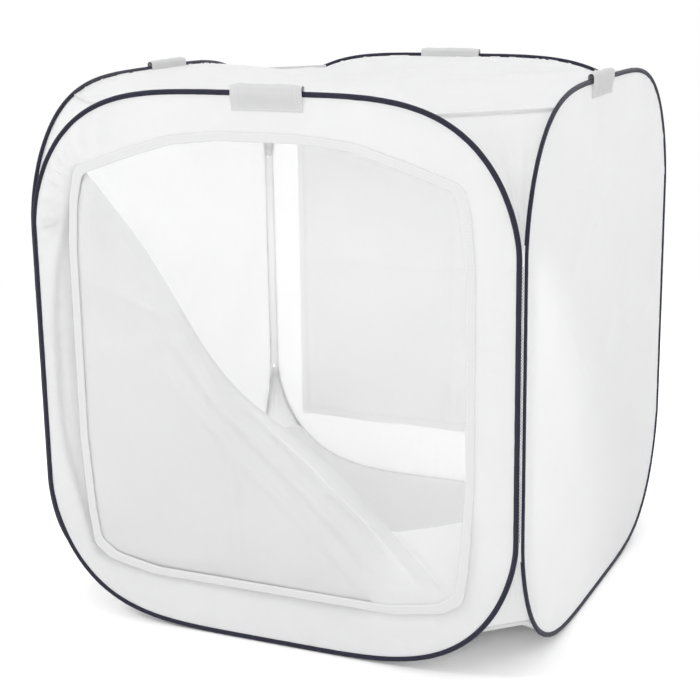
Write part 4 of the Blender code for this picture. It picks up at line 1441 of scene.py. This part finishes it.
class LIGHTTENT_OT_stage(TentOperator, bpy.types.Operator):
    """Set up the white studio: floor, surroundings, lamps and camera"""
    bl_idname = "lighttent.stage"
    bl_label = "Studio"

    def execute(self, context):
        scene = bpy.context.scene
        shape = bmesh.new()
        bmesh.ops.create_circle(shape, cap_ends=True, segments=96, radius=7.0)
        bmesh.ops.translate(shape, verts=shape.verts, vec=(0.0, 0.0, -0.0004))
        nodes = Nodes("studio_floor")
        shows = seen_directly(nodes)
        place = nodes.add("ShaderNodeTexCoord").outputs["Object"]
        away = nodes.add("ShaderNodeVectorMath", {0: place}, operation="LENGTH").outputs["Value"]
        far = nodes.add("ShaderNodeMapRange", {"Value": away, "From Min": 0.9, "From Max": 2.0},
                        interpolation_type="SMOOTHSTEP").outputs["Result"]
        tone = nodes.between(shows, colours().floor, (1.0, 1.0, 1.0))
        matt = nodes.add("ShaderNodeBsdfDiffuse", {"Color": tone}).outputs["BSDF"]
        white = nodes.add("ShaderNodeEmission", {"Strength": 1.0}).outputs["Emission"]
        mixed = nodes.add("ShaderNodeMixShader",
                          {"Fac": nodes.math("MULTIPLY", shows, far), 1: matt, 2: white})
        floor = piece("studio_floor_sheet", shape, (nodes.surface(mixed.outputs["Shader"]),))

        world = bpy.data.worlds.new("studio")
        world.use_nodes = True
        world.node_tree.nodes.clear()
        around = Nodes("studio_helper")
        bpy.data.materials.remove(around.material)
        around.tree = world.node_tree
        shows = seen_directly(around)
        strength = around.math("ADD", around.math("MULTIPLY", shows, 0.12), 0.88)
        light = around.add("ShaderNodeBackground", {"Color": (1.0, 1.0, 1.0, 1.0), "Strength": strength})
        around.add("ShaderNodeOutputWorld", {"Surface": light.outputs["Background"]})
        scene.world = world

        for name, place, size, power in LAMPS:
            lamp = bpy.data.lights.new(name, "AREA")
            lamp.size = size
            lamp.energy = power
            obj = bpy.data.objects.new(name, lamp)
            obj.location = place
            obj.rotation_euler = (LAMPS_FACE - Vector(place)).to_track_quat("-Z", "Y").to_euler()
            obj.visible_camera = False
            scene.collection.objects.link(obj)

        lens = bpy.data.cameras.new("camera")
        lens.lens = CAMERA_LENS
        lens.sensor_width = 36.0
        lens.clip_start, lens.clip_end = 0.01, 50.0
        camera = bpy.data.objects.new("camera", lens)
        turn = Matrix.Rotation(math.radians(CAMERA_TURN), 4, "Z")
        turn = turn @ Matrix.Rotation(math.radians(CAMERA_TILT), 4, "X")
        turn = turn @ Matrix.Rotation(math.radians(CAMERA_ROLL), 4, "Z")
        camera.matrix_world = Matrix.Translation(CAMERA_PLACE) @ turn
        scene.collection.objects.link(camera)
        scene.camera = camera
        scene.view_settings.view_transform = "Standard"
        return {"FINISHED"}


OPERATORS = (
    LIGHTTENT_OT_steel, LIGHTTENT_OT_bindings, LIGHTTENT_OT_patches, LIGHTTENT_OT_corner_threads,
    LIGHTTENT_OT_side_cloths, LIGHTTENT_OT_window_trim, LIGHTTENT_OT_front_cloth, LIGHTTENT_OT_cover,
    LIGHTTENT_OT_backdrop, LIGHTTENT_OT_canopy, LIGHTTENT_OT_gussets, LIGHTTENT_OT_stage,
)


class LIGHTTENT_PT_panel(bpy.types.Panel):
    """Sizes, colours and steps of the light tent"""
    bl_idname = "LIGHTTENT_PT_panel"
    bl_label = "Light Tent"
    bl_space_type = "VIEW_3D"
    bl_region_type = "UI"
    bl_category = "Light Tent"

    def draw(self, context):
        layout = self.layout
        for group in (context.scene.tent_sizes, context.scene.tent_colours):
            box = layout.box()
            for name in group.bl_rna.properties.keys():
                if name not in ("rna_type", "name"):
                    box.prop(group, name)
        for operator in OPERATORS:
            layout.operator(operator.bl_idname)


def register():
    for kind in (TentSizes, TentColours, *OPERATORS, LIGHTTENT_PT_panel):
        bpy.utils.register_class(kind)
    bpy.types.Scene.tent_sizes = PointerProperty(type=TentSizes)
    bpy.types.Scene.tent_colours = PointerProperty(type=TentColours)


def unregister():
    del bpy.types.Scene.tent_sizes
    del bpy.types.Scene.tent_colours
    for kind in reversed((TentSizes, TentColours, *OPERATORS, LIGHTTENT_PT_panel)):
        bpy.utils.unregister_class(kind)


def main():
    register()
    for operator in OPERATORS:
        group, name = operator.bl_idname.split(".")
        getattr(getattr(bpy.ops, group), name)()
    bpy.context.view_layer.update()


if __name__ == "__main__":
    main()
